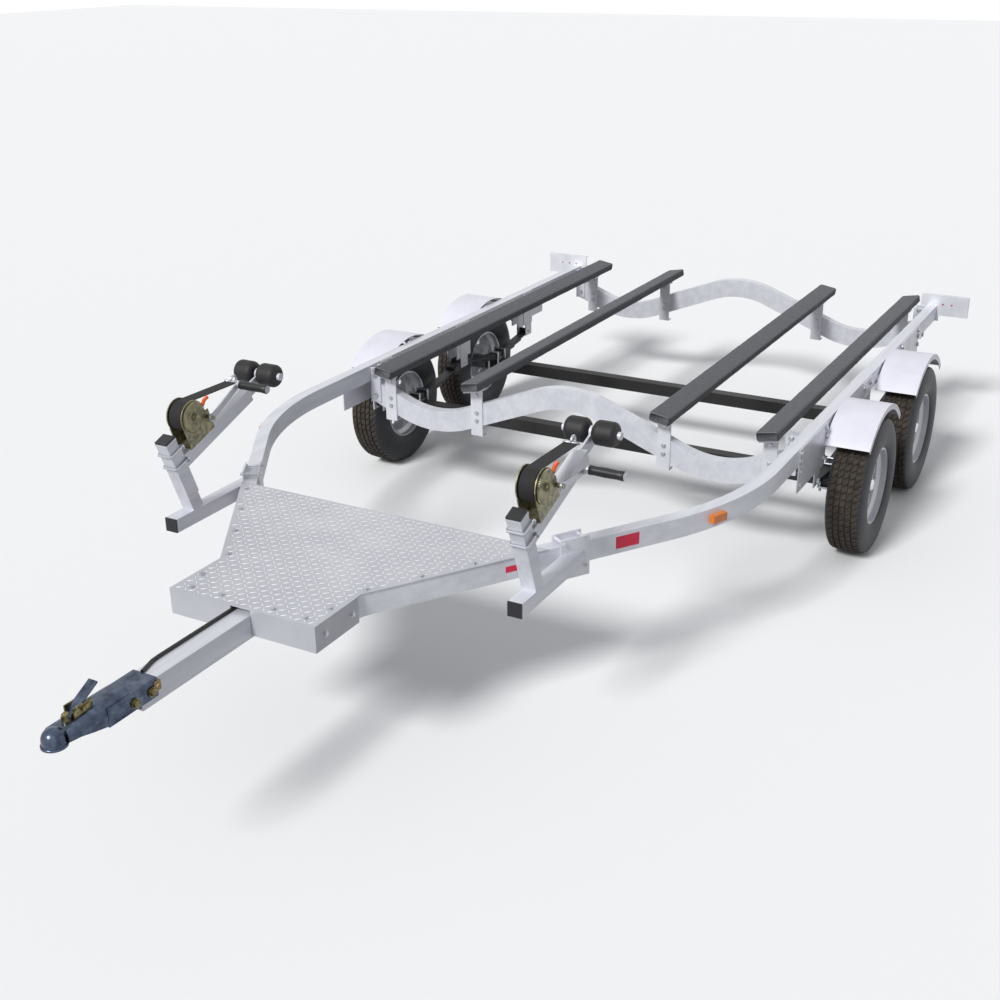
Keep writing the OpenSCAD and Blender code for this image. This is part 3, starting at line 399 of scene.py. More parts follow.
def tyre_part():
    """Rows are points of the section and columns turns about the axle. A tread point's radius
    drops inside the round grooves, and inside the cross grooves of the ribs."""
    left, tread, right = tyre_section()
    bead = np.array([[-BEAD_Y[0], BEAD_R], [-BEAD_Y[1], BEAD_R]])
    # Round the section: bead, up the side, tread, down the side, bead, and back inside
    section = np.concatenate([bead, left[np.argsort(left[:, 1])], tread,
                              right[np.argsort(-right[:, 1])], bead[::-1] * np.array([-1, 1]),
                              [[BEAD_Y[0], LINING_R], [-BEAD_Y[0], LINING_R]]])
    y, r = section.T
    t = np.linspace(0, 2 * np.pi, TURN_STEPS, endpoint=False)
    radius = np.repeat(r[:, None], TURN_STEPS, 1)
    is_tread = (r > TYRE_R - CROWN_DROP - 0.0005) & (abs(y) <= TREAD_HALF + NEAR)
    in_groove = (abs(y[:, None] - np.array(GROOVES)) <= GROOVE_W / 2 + NEAR).any(1)
    radius[is_tread & in_groove] -= GROOVE_DEEP
    rib = np.digitize(y, GROOVES)
    pitch = t[None] * TREAD_PITCHES / (2 * np.pi) + 0.5 * (rib % 2)[:, None]
    phase = (pitch + y[:, None] * CROSS_SLANT) % 1.0
    is_shoulder = np.isin(rib, (0, len(GROOVES)))
    gap = np.where(is_shoulder, SHOULDER_GAP, RIB_GAP)[:, None]
    radius[(phase < gap) & is_tread[:, None] & ~in_groove[:, None]] -= CROSS_DEEP
    points = np.stack([radius * np.sin(t), np.repeat(y[:, None], TURN_STEPS, 1),
                       radius * np.cos(t)], 2)
    faces = grid_faces(len(section), TURN_STEPS, wrap_rows=True, wrap_columns=True)
    between_treads = is_tread[:-1] & is_tread[1:]
    flags = np.concatenate([np.repeat(between_treads, TURN_STEPS), np.zeros(TURN_STEPS, bool)])
    return points.reshape(-1, 3), faces, flags


tyre_points, tyre_faces, tread_flags = tyre_part()
for corner in CORNERS:
    middle = span(f"{corner}_tyre")[2]
    tyre = piece(f"{corner} tyre with tread", tyre_points + middle, tyre_faces,
                 sidewall_rubber, "tyre_rubber", f"{corner}_wheel_body")
    tyre.data.materials.append(tread_rubber)
    tyre.data.polygons.foreach_set("material_index", tread_flags.astype(np.int32))
    tyre.data.polygons.foreach_set("use_smooth", ~tread_flags)
    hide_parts(f"{corner}_tyre")
print("tyre faces each:", len(tyre_faces))

# %% [markdown]
# ## Bunks
#
# A bunk is a board with carpet pulled round it and stapled below, so its edges are soft and
# its faces are never quite flat. A rounded section is carried along the board, with a small
# wave in the carpet from a sum of sines.

# %% Carpeted bunks
BUNK_W, BUNK_T, BUNK_TILT, BUNK_EDGE = 0.100, 0.042, math.radians(10), 0.009
BUNK_RINGS, BUNK_AROUND = 180, 48
BUNK_INSET = 0.002                          # the carpet lies this much inside the CAD board
FOLD_L, FOLD_SIZE, FOLD_POWER = 0.006, 0.72, 0.4    # how the carpet closes over the ends
# The wave in the carpet: height, waves a metre (as radians) for two sines, and its share
LONG_WAVE, SHORT_WAVE, WAVE_SINK, WAVE_SHARE = (0.0006, 31), (0.0004, 83), 0.001, 0.8


def rounded_section(width, height, radius, count):
    """Points round a rectangle with round corners: four quarter circles, each spaced evenly
    by angle, joined by straight sides."""
    t = np.linspace(0, np.pi / 2, count // 4)
    rows = []
    for quarter, (sx, sy) in enumerate(((1, 1), (-1, 1), (-1, -1), (1, -1))):
        a = t + quarter * np.pi / 2
        rows.append(np.stack([sx * (width / 2 - radius) + radius * np.cos(a),
                              sy * (height / 2 - radius) + radius * np.sin(a)], 1))
    return np.concatenate(rows)


section = rounded_section(BUNK_W - BUNK_INSET, BUNK_T - BUNK_INSET, BUNK_EDGE, BUNK_AROUND)
AROUND = len(section)


def bunk_part(low, high, middle, tilt, shift):
    """The section carried along x: each ring is the section times the end fold's size and
    1 + wave, turned by tilt. shift moves the short wave along, so no two bunks match."""
    x = np.linspace(low[0] + 0.0005, high[0] - 0.0005, BUNK_RINGS)
    fold = np.minimum(1, np.minimum(x - x[0], x[-1] - x) / FOLD_L + FOLD_SIZE)
    wave = (LONG_WAVE[0] * np.sin(x * LONG_WAVE[1] + middle[1] * 9)
            + SHORT_WAVE[0] * np.sin(x * SHORT_WAVE[1] + shift))
    flat = section[None] * fold[:, None, None] ** FOLD_POWER
    flat = flat * (1 + (wave[:, None, None] - WAVE_SINK) / np.array([BUNK_W, BUNK_T]) * WAVE_SHARE)
    y = middle[1] + flat[..., 0] * math.cos(tilt) - flat[..., 1] * math.sin(tilt)
    z = middle[2] + flat[..., 0] * math.sin(tilt) + flat[..., 1] * math.cos(tilt)
    points = np.stack([np.repeat(x[:, None], AROUND, 1), y, z], 2).reshape(-1, 3)
    faces = grid_faces(BUNK_RINGS, AROUND, wrap_columns=True) + ring_caps(BUNK_RINGS, AROUND)
    return points, faces


for side, sign in SIDES.items():
    for row, lean in (("outer", 1), ("inner", -1)):
        part = bunk_part(*span(f"{side}_{row}_bunk"), sign * lean * BUNK_TILT, lean)
        bunk = piece(f"{side} {row} bunk carpet", *part, carpet, "bunk_carpet", smooth=True)
        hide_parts(f"{side}_{row}_bunk")
print("rings in each bunk:", BUNK_RINGS)

# %% [markdown]
# ## Deck
#
# Tread plate is rolled with small raised bars that lie across each other by turns. Each bar
# is a low lozenge with sloped sides; thousands of them are one mesh of tiled copies.

# %% Raised bars of the tread plate
BAR_L, BAR_W, BAR_RISE, BAR_PITCH = 0.026, 0.0065, 0.0015, 0.0255
FLARE = math.radians(33)                    # the deck's sides spread by this angle behind FLARE_X
FLARE_X, DECK_EDGE = deck_high[0] - 0.243, 0.276
SIDE_MARGIN, REAR_MARGIN, FRONT_MARGIN = 0.018, 0.016, 0.018    # bars keep off the plate's edges
SINK = 0.0001                               # how far a fitting is let into the face below it
LOZENGE = np.array([[1, 0, 0], [0, 1, 0], [-1, 0, 0], [0, -1, 0],
                    [0.6, 0, 1], [0, 0.55, 1], [-0.6, 0, 1], [0, -0.55, 1]], float)
LOZENGE_FACES = [(0, 1, 5, 4), (1, 2, 6, 5), (2, 3, 7, 6), (3, 0, 4, 7), (4, 5, 6, 7),
                 (3, 2, 1, 0)]


def deck_half_width(x):
    """Half of the deck's width at x: straight in front, and wider behind by the flare's tangent."""
    return DECK_EDGE + np.maximum(0, FLARE_X - x) * math.tan(FLARE)


def deck_bars():
    """Bar (i, j) sits on a square grid. It points at +45 degrees where i + j is even and at
    -45 degrees where it is odd: (x cos a - y sin a, x sin a + y cos a)."""
    i, j = np.meshgrid(np.arange(-16, 17), np.arange(-28, 29), indexing="ij")
    i, j = i.ravel(), j.ravel()
    x = deck_mid[0] + i * BAR_PITCH
    y = j * BAR_PITCH
    keep = ((abs(y) < deck_half_width(x) - SIDE_MARGIN)
            & (x > deck_low[0] + REAR_MARGIN) & (x < deck_high[0] - FRONT_MARGIN))
    i, j, x, y = i[keep], j[keep], x[keep], y[keep]
    turn = np.where((i + j) % 2 == 0, 1, -1) * np.pi / 4
    along, across, rise = (LOZENGE * np.array([BAR_L / 2, BAR_W / 2, BAR_RISE])).T[:, None]
    cos, sin = np.cos(turn)[:, None], np.sin(turn)[:, None]
    points = np.stack([along * cos - across * sin + x[:, None],
                       along * sin + across * cos + y[:, None],
                       np.repeat(rise + deck_high[2] - SINK, len(x), 0)], 2).reshape(-1, 3)
    first = np.arange(len(x))[:, None, None] * len(LOZENGE)
    faces = (first + np.array(LOZENGE_FACES)[None]).reshape(-1, 4)
    return points, faces.tolist()


bars = piece("Raised bars of the tread plate", *deck_bars(), bar_aluminium, "tread_plate")
print("bars on the deck:", len(bars.data.polygons) // len(LOZENGE_FACES))

# %% [markdown]
# ## Bolts
#
# Every bracket is held by hexagon bolts with washers. Bolts could be instances of one object;
# they are copies in one mesh, because that mesh rides and exports as a single piece. A row of
# places and one direction set them wherever the real plate has one.

# %% Frame bolts
hanger_high = span("spring_hangers")[1]
axle_x = [span(f"left_{end}_tyre")[2][0] for end in ("front", "rear")]
HANGER_REACH = 0.330                        # from an axle to its outer hanger
PLATE_FACE = RAIL_OUT + 0.005               # outer face of a hanger's plate
PLATE_SHORT, PLATE_LONG = 0.080, 0.260      # a plate's bolts, either way from its hanger
PLATE_DROPS = (0.024, 0.055, 0.098, 0.155)  # and below the rail's top
EYE_Z, LIP_Y, LIP_DROP = 0.412, 0.280, 0.040
HULL_Y, BUNK_OFFSET = 0.697, 0.235          # a hull's keel, and its bunks either side of it
CROSS_FACE = 0.0255 + 0.006                 # half a cross tube and the bracket's plate
bolts = []


def bolt_row(places, axis, size):
    """Adds one bolt at each place, all with the same direction and thread."""
    bolts.extend(bolt_part(place, axis, size) for place in places)


for sign in SIDES.values():
    outward = (0, sign, 0)
    front, rear = axle_x[0] + HANGER_REACH, axle_x[1] - HANGER_REACH
    plate_x = (front - PLATE_SHORT, front + PLATE_LONG, rear - PLATE_LONG, rear + PLATE_SHORT)
    bolt_row([(x, sign * PLATE_FACE, RAIL_TOP - drop) for x in plate_x for drop in PLATE_DROPS],
             outward, 0.012)
    bolt_row([(sum(axle_x) / 2 + dx, sign * PLATE_FACE, RAIL_TOP - 0.03) for dx in (-0.05, 0.05)],
             outward, 0.012)
    # Spring eyes: a nut on each hanger's bolt
    bolt_row([(x, sign * (hanger_high[1] - 0.0095), EYE_Z) for x in (front, rear)], outward, 0.014)
    # Deck bolts behind its front edge and on the slanted sides
    bolt_row([(deck_high[0] - 0.035, sign * y, deck_high[2] - SINK) for y in (0.10, 0.22)],
             (0, 0, 1), 0.009)
    bolt_row([(x, sign * (deck_half_width(x) - 0.025), deck_high[2] - SINK)
              for x in np.linspace(deck_low[0] + 0.05, deck_high[0] - 0.12, 5)],
             (0, 0, 1), 0.009)
    # Lip bolts on the deck's turned-down side
    bolt_row([(deck_high[0] - back, sign * LIP_Y, RAIL_TOP - LIP_DROP) for back in (0.05, 0.19)],
             outward, 0.010)
for cross in ("front_crossmember", "rear_crossmember"):
    cross_high, cross_mid = span(cross)[1:]
    for sign in SIDES.values():
        end_y = sign * (cross_high[1] - 0.028)
        bolt_row([(cross_high[0], end_y, z) for z in (0.500, 0.600, 0.625)], (1, 0, 0), 0.012)
        for keel in (HULL_Y - BUNK_OFFSET, HULL_Y + BUNK_OFFSET):
            bolt_row([(cross_mid[0] + CROSS_FACE, sign * keel, z) for z in (0.462, 0.500, 0.585)],
                     (1, 0, 0), 0.010)
piece("Frame bolts", *join(bolts), zinc, "zinc_steel")
print("frame bolts:", len(bolts))

# %% [markdown]
# ## Winch stands
#
# Two U-bolts hold each post to its arm, and their bars cross the post's front. The winch has
# a big gear on its crank side, a ratchet lever and a hook for the strap. Posts and arms lean,
# so their fittings could be made upright and turned; here every point is given along the
# leaning tube itself, because then a fitting's numbers are the ones a maker would measure.

# %% Lines of a stand
KEEL = (span("left_outer_bow_roller")[2][1] + span("left_inner_bow_roller")[2][1]) / 2
NOSE_X = 2.7375                             # the coupler's front end
STAND_BACK, FOOT_BACK = 1.262, 0.119        # from the nose to the base tube, and on to the post
POST_FOOT = np.array([NOSE_X - STAND_BACK - FOOT_BACK, 0, RAIL_TOP - 0.028])
POST_LEAN, ARM_SLOPE, TUBE = math.radians(20), math.radians(19.5), 0.051
HALF_TUBE = TUBE / 2
post_up = np.array([math.sin(POST_LEAN), 0, math.cos(POST_LEAN)])
post_front = np.array([math.cos(POST_LEAN), 0, -math.sin(POST_LEAN)])
arm_back = np.array([-math.cos(ARM_SLOPE), 0, math.sin(ARM_SLOPE)])
arm_up = np.array([math.sin(ARM_SLOPE), 0, math.cos(ARM_SLOPE)])
ARM_ROOT = POST_FOOT + post_up * 0.198


def on_post(up, out, y, keel):
    """A point on a post: up its length, out from its middle towards the front, y from its keel."""
    return POST_FOOT + post_up * up + post_front * out + np.array([0, keel + y, 0])


def on_arm(back, up, y, keel):
    """Points on an arm: back along it, up from its middle line, y from its keel. back and up
    are numbers or arrays of the same length."""
    return (ARM_ROOT + np.multiply.outer(back, arm_back) + np.multiply.outer(up, arm_up)
            + np.array([0, keel + y, 0]))


print("posts stand", round(2 * KEEL, 3), "m apart")

# %% U-bolts on the posts
BOLT_HEIGHTS, ROD_R = (0.205, 0.262), 0.0045
ROD_Y, CORNER_Y = HALF_TUBE + 0.006, HALF_TUBE + 0.001      # the rod's legs and its bent corners
LEG_END, BEND_OUT, BAR_OUT = -HALF_TUBE - 0.014, HALF_TUBE - 0.004, HALF_TUBE + 0.005
clamps = []
for sign in SIDES.values():
    keel = sign * KEEL
    for height in BOLT_HEIGHTS:
        # Along the rod: up one leg, across the post's front and down the other leg
        rod = ((LEG_END, -ROD_Y), (BEND_OUT, -ROD_Y), (BAR_OUT, -CORNER_Y),
               (BAR_OUT, CORNER_Y), (BEND_OUT, ROD_Y), (LEG_END, ROD_Y))
        clamps.append(tube_part([on_post(height, out, y, keel) for out, y in rod], ROD_R, 12))
        clamps += [bolt_part(on_post(height, -HALF_TUBE - 0.006, y, keel), -post_front, 0.010)
                   for y in (-ROD_Y, ROD_Y)]
piece("U-bolts on the posts", *join(clamps), zinc, "zinc_steel")
print("U-bolts:", len(clamps) // 3)

# %% Winches
WINCH = (0.126, 0.128)                      # the drum's axle: back along the arm, and up
SHAFT = (0.184, 0.088)                      # the crank's shaft, in the same way
CRANK_L, CRANK_TURNS = 0.172, {"left": math.radians(-21), "right": math.radians(8)}
CHEEK_OUT = 0.031 + 0.004                   # outer face of a winch's cheek, from the keel
GRIP_Y = CHEEK_OUT + 0.026 + 0.006 + 0.006  # where the grip begins, past the crank
GEAR_Y = CHEEK_OUT + 0.0065
GEAR_TEETH, GEAR_R, TOOTH, GEAR_HALF = 44, 0.052, 0.004, 0.003
GRIP_PROFILE = [(0.0125, 0), (0.0165, 0.004), (0.0150, 0.020), (0.0165, 0.060), (0.0150, 0.100),
                (0.0168, 0.122), (0.0140, 0.1255)]
HOOK, HOOK_BEND, HOOK_WIRE, PIN_R = (0.387, 0.090), 0.014, 0.0045, 0.005
PIN_Y = (-0.029, -0.01, 0.01, 0.029)
ALONG_Y = (0, 1, 0)


def gear_part(keel):
    """A disc with square teeth: the rim's radius is GEAR_R, and TOOTH more on two points of
    every four round it."""
    t = np.linspace(0, 2 * np.pi, GEAR_TEETH * 4, endpoint=False)
    rim = GEAR_R + TOOTH * (np.arange(len(t)) % 4 < 2)
    points = np.concatenate([
        on_arm(WINCH[0] + rim * np.cos(t), WINCH[1] + rim * np.sin(t), GEAR_Y + dy, keel)
        for dy in (-GEAR_HALF, GEAR_HALF)])
    n = len(t)
    faces = [(k, (k + 1) % n, n + (k + 1) % n, n + k) for k in range(n)]
    return points, faces + ring_caps(2, n)


bend_turn = np.linspace(-0.5 * np.pi, 1.1 * np.pi, 18)
gears, levers, grips, hooks = [], [], [], []
for side, sign in SIDES.items():
    keel = sign * KEEL
    gears += [gear_part(keel),
              disc_part(on_arm(*WINCH, GEAR_Y, keel), ALONG_Y, 0.014, 0.012, 20),
              bolt_part(on_arm(*WINCH, GEAR_Y + 0.010, keel), ALONG_Y, 0.012)]
    # Ratchet lever above the crank's shaft
    levers.append(tube_part([on_arm(0.180, 0.140, 0.040, keel), on_arm(0.196, 0.152, 0.041, keel),
                             on_arm(0.215, 0.154, 0.042, keel)], 0.007, 10))
    # Grip over the crank's handle
    turn = CRANK_TURNS[side]
    grip = on_arm(SHAFT[0] + CRANK_L * math.cos(turn), SHAFT[1] + CRANK_L * math.sin(turn), 0, keel)
    grip[1] = keel + GRIP_Y
    grips.append(turned_part(GRIP_PROFILE, grip, ALONG_Y, 24))
    # Hook that ends the strap: part of a circle, and the pin that the strap is sewn round
    bend = on_arm(HOOK[0] + HOOK_BEND + HOOK_BEND * np.cos(bend_turn),
                  HOOK[1] + HOOK_BEND * np.sin(bend_turn), 0, keel)
    hooks += [tube_part(bend, HOOK_WIRE, 10),
              tube_part([on_arm(*HOOK, y, keel) for y in PIN_Y], PIN_R, 10)]
piece("Winch gears", *join(gears), yellow_zinc, "winch_plating")
piece("Ratchet levers", *join(levers), orange_plastic, "cap_plastic", smooth=True)
piece("Crank grips", *join(grips), black_plastic, "cap_plastic", smooth=True)
piece("Strap hooks", *join(hooks), zinc, "zinc_steel", smooth=True)
print("gear teeth on each winch:", GEAR_TEETH)

# %% [markdown]
# ## Wheel fittings
#
# Five cone nuts hold each wheel, a rubber valve stands in the rim, and a chromed cap closes
# the hub. All are round, so each is a profile turned about the axle's direction: a lathe
# would cut the real cap from the same few radii.

# %% Nuts, valves and caps
BOLT_CIRCLE = 0.05715                       # radius of the circle of nuts
NUT_FACE = 1.2180 + 0.005                   # outer face of the wheel's disc, from the keel line
NUTS = 5
VALVE_OUT, VALVE_Y, VALVE_Z = 0.137, 1.262, 0.020
CAP_BACK = 0.046                            # from the hub's outer end back to the cap's foot
NUT_PROFILE = [(0.0105, -0.001), (0.0105, 0.015), (0.0075, 0.0185)]
CAP_PROFILE = [(0.0276, 0.001), (0.0290, 0.004), (0.0278, 0.007), (0.0276, 0.034),
               (0.0245, 0.0415), (0.0185, 0.0465), (0.010, 0.0475)]
VALVE_PROFILE = [(0.0055, -0.022), (0.0050, 0.0), (0.0038, 0.004), (0.0038, 0.018),
                 (0.003, 0.020)]
for corner, sign in CORNERS.items():
    body, outward = f"{corner}_wheel_body", (0, sign, 0)
    centre = span(f"{corner}_tyre")[2]
    hub_low, hub_high, _ = span(f"{corner}_hub")
    hub_end = hub_high[1] if sign > 0 else hub_low[1]
    nuts = []
    for a in np.arange(NUTS) * 2 * np.pi / NUTS:
        place = np.array([centre[0] + BOLT_CIRCLE * math.sin(a), sign * NUT_FACE,
                          centre[2] + BOLT_CIRCLE * math.cos(a)])
        nuts += [turned_part(NUT_PROFILE, place, outward, 6),
                 disc_part(place, outward, 0.0120, 0.003, 20)]
    piece(f"{corner} wheel nuts", *join(nuts), zinc, "zinc_steel", body)
    cap_foot = np.array([centre[0], hub_end - sign * CAP_BACK, centre[2]])
    piece(f"{corner} hub cap", *turned_part(CAP_PROFILE, cap_foot, outward, 40),
          chrome, "coupler_plating", body, smooth=True)
    valve = np.array([centre[0] + VALVE_OUT, sign * VALVE_Y, centre[2] + VALVE_Z])
    piece(f"{corner} valve", *turned_part(VALVE_PROFILE, valve, outward, 14),
          black_rubber, "roller_rubber", body, smooth=True)
print("wheels dressed:", len(CORNERS))

# %% [markdown]
# ## Tongue and coupler
#
# The wiring loom lies on the tongue's far top edge and goes in under the deck. It could be a
# curve with a round bevel; a swept ring of points makes the same tube and its mesh at once.
# The coupler is pressed from one sheet, so its head is lofted through a few stations.

# %% Loom
coupler_low, coupler_high, _ = span("coupler")
BACK_X, SOCKET_X = coupler_low[0], coupler_high[0] - 0.033
LOOM_R, LOOM_Y = 0.0055, -0.031
loom_z = tongue_high[2] + LOOM_R + 0.0003
loom = np.array([(BACK_X - 0.002, -0.012, loom_z), (BACK_X - 0.060, -0.029, loom_z),
                 (BACK_X - 0.090, LOOM_Y, loom_z), (deck_high[0] + 0.010, LOOM_Y, loom_z),
                 (deck_high[0] - 0.090, LOOM_Y, loom_z)])
t = np.linspace(0, len(loom) - 1, 60)
loom_path = np.stack([np.interp(t, np.arange(len(loom)), loom[:, k]) for k in range(3)], 1)
piece("Wiring loom", *tube_part(loom_path, LOOM_R, 12), black_plastic, "cap_plastic", smooth=True)
print("loom:", round(np.linalg.norm(np.diff(loom, axis=0), axis=1).sum(), 3), "m")


# %% Coupler
def ridge_part(stations):
    """A body lofted along X: each station is (x, half width, bottom, top). Its section has
    round shoulders: half width times the root of |cos t|, and bottom to top by the root of
    sin t, which is a superellipse of power 4."""
    stations = np.array(stations, float)
    rows = len(stations)
    t = np.linspace(0, np.pi, 17)
    n = len(t)
    y = stations[:, 1:2] * (np.sign(np.cos(t)) * abs(np.cos(t)) ** 0.5)[None]
    z = stations[:, 2:3] + (stations[:, 3:4] - stations[:, 2:3]) * (abs(np.sin(t)) ** 0.5)[None]
    points = np.stack([np.repeat(stations[:, :1], n, 1), y, z], 2)
    floor = [(i * n + n - 1, (i + 1) * n + n - 1, (i + 1) * n, i * n) for i in range(rows - 1)]
    return points.reshape(-1, 3), grid_faces(rows, n) + floor + ring_caps(rows, n)


# The head: a pressed shell that widens from the ball's cup to the tongue's straps
HEAD_HALF = 0.0440
head = ridge_part([(SOCKET_X - 0.020, 0.0345, 0.602, 0.6405),
                   (SOCKET_X - 0.060, 0.0360, 0.598, 0.644),
                   (SOCKET_X - 0.105, 0.0395, 0.588, 0.650),
                   (SOCKET_X - 0.150, 0.0425, 0.580, 0.652),
                   (BACK_X + 0.125, HEAD_HALF, 0.576, 0.650),
                   (BACK_X + 0.100, HEAD_HALF, 0.576, 0.6488)])
piece("Coupler head", *head, bright_zinc, "coupler_plating")
lip = turned_part([(0.0335, 0), (0.0365, 0.0015), (0.0365, 0.007), (0.0335, 0.0085)],
                  (SOCKET_X, 0, 0.5932), (0, 0, 1), 40)
piece("Lip of the ball cup", *lip, bright_zinc, "coupler_plating", smooth=True)
LATCH_BACK, LATCH_FRONT, NUT_X = SOCKET_X - 0.128, SOCKET_X - 0.062, SOCKET_X - 0.050
LATCH_LOW, LATCH_TOP, CHEEK_IN, CHEEK_FACE = 0.640, 0.676, 0.0145, 0.0185
latch = [box_part((LATCH_BACK, -CHEEK_FACE, LATCH_LOW), (LATCH_FRONT, -CHEEK_IN, LATCH_TOP)),
         box_part((LATCH_BACK, CHEEK_IN, LATCH_LOW), (LATCH_FRONT, CHEEK_FACE, LATCH_TOP)),
         disc_part((SOCKET_X - 0.095, -0.024, 0.661), ALONG_Y, 0.0065, 0.048),
         disc_part((NUT_X, 0, LATCH_LOW), (0, 0, 1), 0.014, 0.014),
         turned_part([(0.011, 0), (0.011, 0.010), (0.008, 0.013)], (NUT_X, 0, 0.653),
                     (0, 0, 1), 6)]
piece("Latch cheeks and nut", *join(latch), latch_zinc, "coupler_plating")
fittings = [bolt_part((x, s * HEAD_HALF, 0.598), (0, s, 0), 0.014)
            for x in (BACK_X + 0.024, BACK_X + 0.090) for s in (-1, 1)]
piece("Coupler bolts", *join(fittings), latch_zinc, "coupler_plating")
nylon = [box_part((BACK_X - 0.010, 0.0385, 0.592), (BACK_X + 0.014, 0.0460, 0.622)),
         disc_part((BACK_X + 0.002, 0.0460, 0.607), ALONG_Y, 0.0075, 0.006)]
piece("Nylon block on the tongue", *join(nylon), tan_nylon, "cap_plastic")
print("coupler bolts:", len(fittings))

# %% [markdown]
# ## Tape and collars
#
# Red tape makes the rails show at night: it is a foil 0.6 mm thick, stuck on the slanted part
# of a rail. A painted patch in the rail's own finish would do, but a thin plate keeps a crisp
# edge from every side. A folded collar under each post's cap closes the tube's end.

# %% Tape on the rails
TAPE_T, TAPE_DROP = 0.0006, 0.036           # thickness, and its middle below the rail's top
# Columns: distance behind the flare, length, height
TAPE = ((0.535, 0.050, 0.022), (0.985, 0.095, 0.045))
TAPE_FACES = [(3, 2, 1, 0), (4, 5, 6, 7), (0, 1, 5, 4), (1, 2, 6, 5), (2, 3, 7, 6), (3, 0, 4, 7)]


def tape_part(distance, length, height, sign):
    """A thin plate on the rail's slanted outer face: its middle lies at distance along the
    rail behind the flare, and its corners at half its length and height either way."""
    along = np.array([-math.cos(FLARE), math.sin(FLARE), 0])
    out = np.array([math.sin(FLARE), math.cos(FLARE), 0])
    point = np.array([FLARE_X, DECK_EDGE, RAIL_TOP - TAPE_DROP]) + along * distance
    corners = [point + along * a * length / 2 + out * lift + np.array([0, 0, h * height / 2])
               for lift in (-SINK, TAPE_T) for a, h in ((-1, -1), (1, -1), (1, 1), (-1, 1))]
    faces = TAPE_FACES if sign < 0 else [face[::-1] for face in TAPE_FACES]
    return np.array(corners) * np.array([1, sign, 1]), faces


tape = [tape_part(*row, sign) for sign in SIDES.values() for row in TAPE]
piece("Red reflective tape", *join(tape), red_tape, "red_lens")
print("tape patches:", len(tape))

# %% Collars on the posts
COLLAR_UP, COLLAR_H, COLLAR_HALF = 0.300, 0.0078, HALF_TUBE + 0.0012
collars = [(np.array([on_post(COLLAR_UP + up, out, y, sign * KEEL)
                      for out in (-COLLAR_HALF, COLLAR_HALF)
                      for y in (-COLLAR_HALF, COLLAR_HALF) for up in (0, COLLAR_H)]), BOX_FACES)
           for sign in SIDES.values()]
piece("Collars below the post caps", *join(collars), plate_aluminium, "bracket_plate")
print("collars:", len(collars))

# %% [markdown]
# ## Floor and light
#
# A pale floor keeps the trailer's shadow. What the camera and reflections see is a white
# surround, but the light that floor and sky give the trailer is dimmer than that, so that the
# aluminium keeps its shades. A Light Path node tells the two apart, where more lamps would
# only wash the metal out. One sun stands high ahead of the trailer.


# %% Floor
def seen_directly(tree):
    """A node that is 1 for camera, glossy and transmission rays, and 0 for the rest."""
    rays = add(tree, "ShaderNodeLightPath")
    two = add(tree, "ShaderNodeMath", [(0, rays, "Is Camera Ray"), (1, rays, "Is Glossy Ray")],
              operation="ADD", use_clamp=True)
    return add(tree, "ShaderNodeMath", [(0, two, "Value"), (1, rays, "Is Transmission Ray")],
               operation="ADD", use_clamp=True)


FLOOR = 40.0                                # half of the floor's side
floor_mesh = bpy.data.meshes.new("floor")
floor_mesh.from_pydata([(-FLOOR, -FLOOR, 0), (FLOOR, -FLOOR, 0), (FLOOR, FLOOR, 0),
                        (-FLOOR, FLOOR, 0)], [], [(0, 1, 2, 3)])
floor = bpy.data.objects.new("floor", floor_mesh)
bpy.context.scene.collection.objects.link(floor)
floor_paint = finish("Pale floor", "#F7F7F7", 0.0, 0.9)
tree = floor_paint.node_tree
seen = seen_directly(tree)
dim_floor = add(tree, "ShaderNodeBsdfDiffuse", Color=(0.16, 0.16, 0.17, 1))
mix = add(tree, "ShaderNodeMixShader", [("Fac", seen, "Value")])
tree.links.new(dim_floor.outputs["BSDF"], mix.inputs[1])
tree.links.new(tree.nodes["Principled BSDF"].outputs["BSDF"], mix.inputs[2])
tree.links.new(mix.outputs["Shader"], tree.nodes["Material Output"].inputs["Surface"])
floor_mesh.materials.append(floor_paint)
print("floor:", 2 * FLOOR, "m")

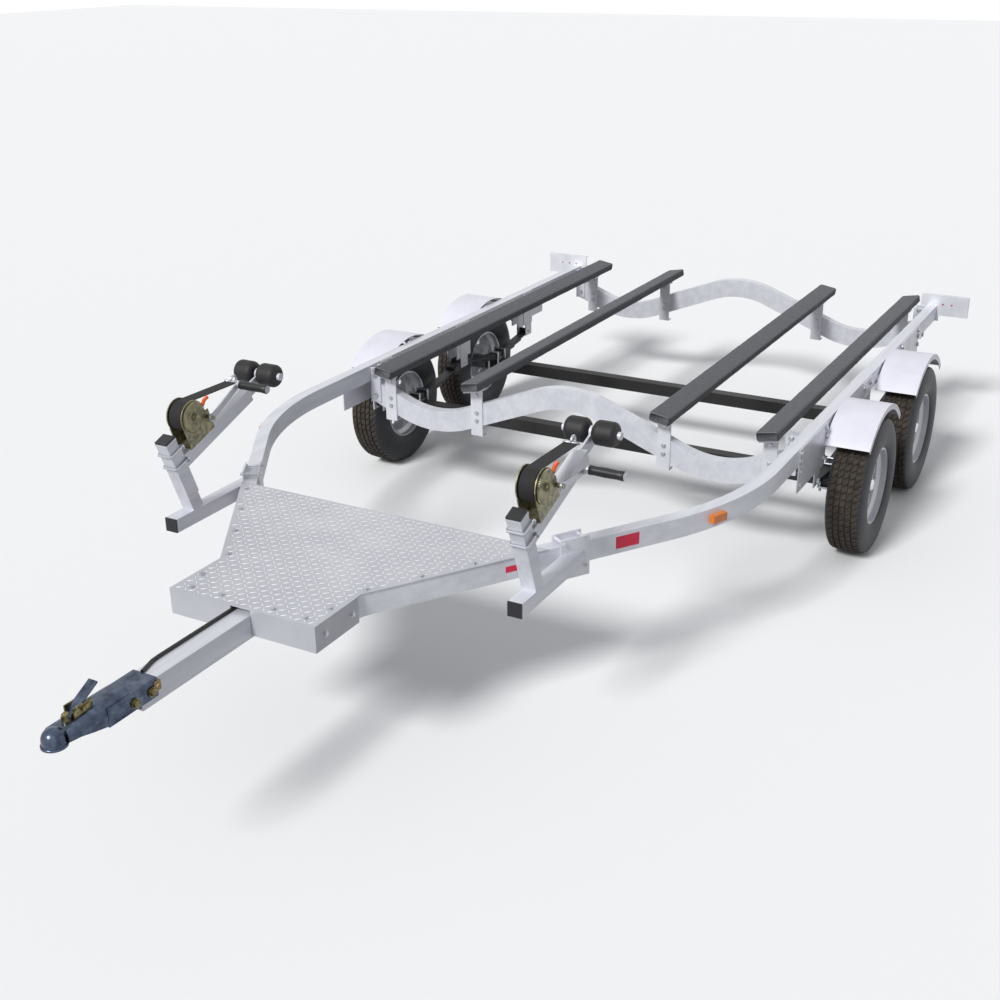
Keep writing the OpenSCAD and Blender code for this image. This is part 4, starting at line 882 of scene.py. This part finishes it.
# %% Sky and sun
world = bpy.data.worlds.new("studio")
bpy.context.scene.world = world
world.use_nodes = True
tree = world.node_tree
tree.nodes.clear()
seen = seen_directly(tree)
glow = add(tree, "ShaderNodeBackground", Color=(1, 1, 1, 1), Strength=1.0)
sky = add(tree, "ShaderNodeBackground", Color=(0.93, 0.96, 1.0, 1), Strength=0.4)
mix = add(tree, "ShaderNodeMixShader", [("Fac", seen, "Value")])
tree.links.new(sky.outputs["Background"], mix.inputs[1])
tree.links.new(glow.outputs["Background"], mix.inputs[2])
add(tree, "ShaderNodeOutputWorld", [("Surface", mix, "Shader")])

sun_data = bpy.data.lights.new("sun", "SUN")
sun_data.energy = 2.8
sun_data.angle = math.radians(14)
sun = bpy.data.objects.new("sun", sun_data)
bpy.context.scene.collection.objects.link(sun)
toward_sun = Vector((0.76, -0.12, 0.64))
sun.rotation_euler = toward_sun.to_track_quat("Z", "Y").to_euler()
print("sun:", sun_data.energy, "W per square metre")

# %% [markdown]
# ## Camera
#
# The camera looks back along the trailer from ahead and to its left, a little above a
# person's eye. Its place and three angles fix it; they could be set by hand, but a matrix
# built from the view's own right, up and forward lines has no doubt about their order.

# %% Camera
CAMERA = Vector((4.69975, 2.44611, 2.51858))
YAW, PITCH, ROLL = (math.radians(v) for v in (209.157, 22.992, -0.636))
forward = Vector((math.cos(YAW) * math.cos(PITCH), math.sin(YAW) * math.cos(PITCH),
                  -math.sin(PITCH)))
level = Vector((math.sin(YAW), -math.cos(YAW), 0))
rise = level.cross(forward)
right = math.cos(ROLL) * level + math.sin(ROLL) * rise
up = -math.sin(ROLL) * level + math.cos(ROLL) * rise
camera_data = bpy.data.cameras.new("camera")
camera_data.lens = 47.84
camera_data.sensor_width = 36
camera = bpy.data.objects.new("camera", camera_data)
bpy.context.scene.collection.objects.link(camera)
camera.matrix_world = Matrix((
    (right.x, up.x, -forward.x, CAMERA.x), (right.y, up.y, -forward.y, CAMERA.y),
    (right.z, up.z, -forward.z, CAMERA.z), (0, 0, 0, 1)))
bpy.context.scene.camera = camera
bpy.context.scene.view_settings.view_transform = "Standard"
print("lens:", round(camera_data.lens, 2), "mm")
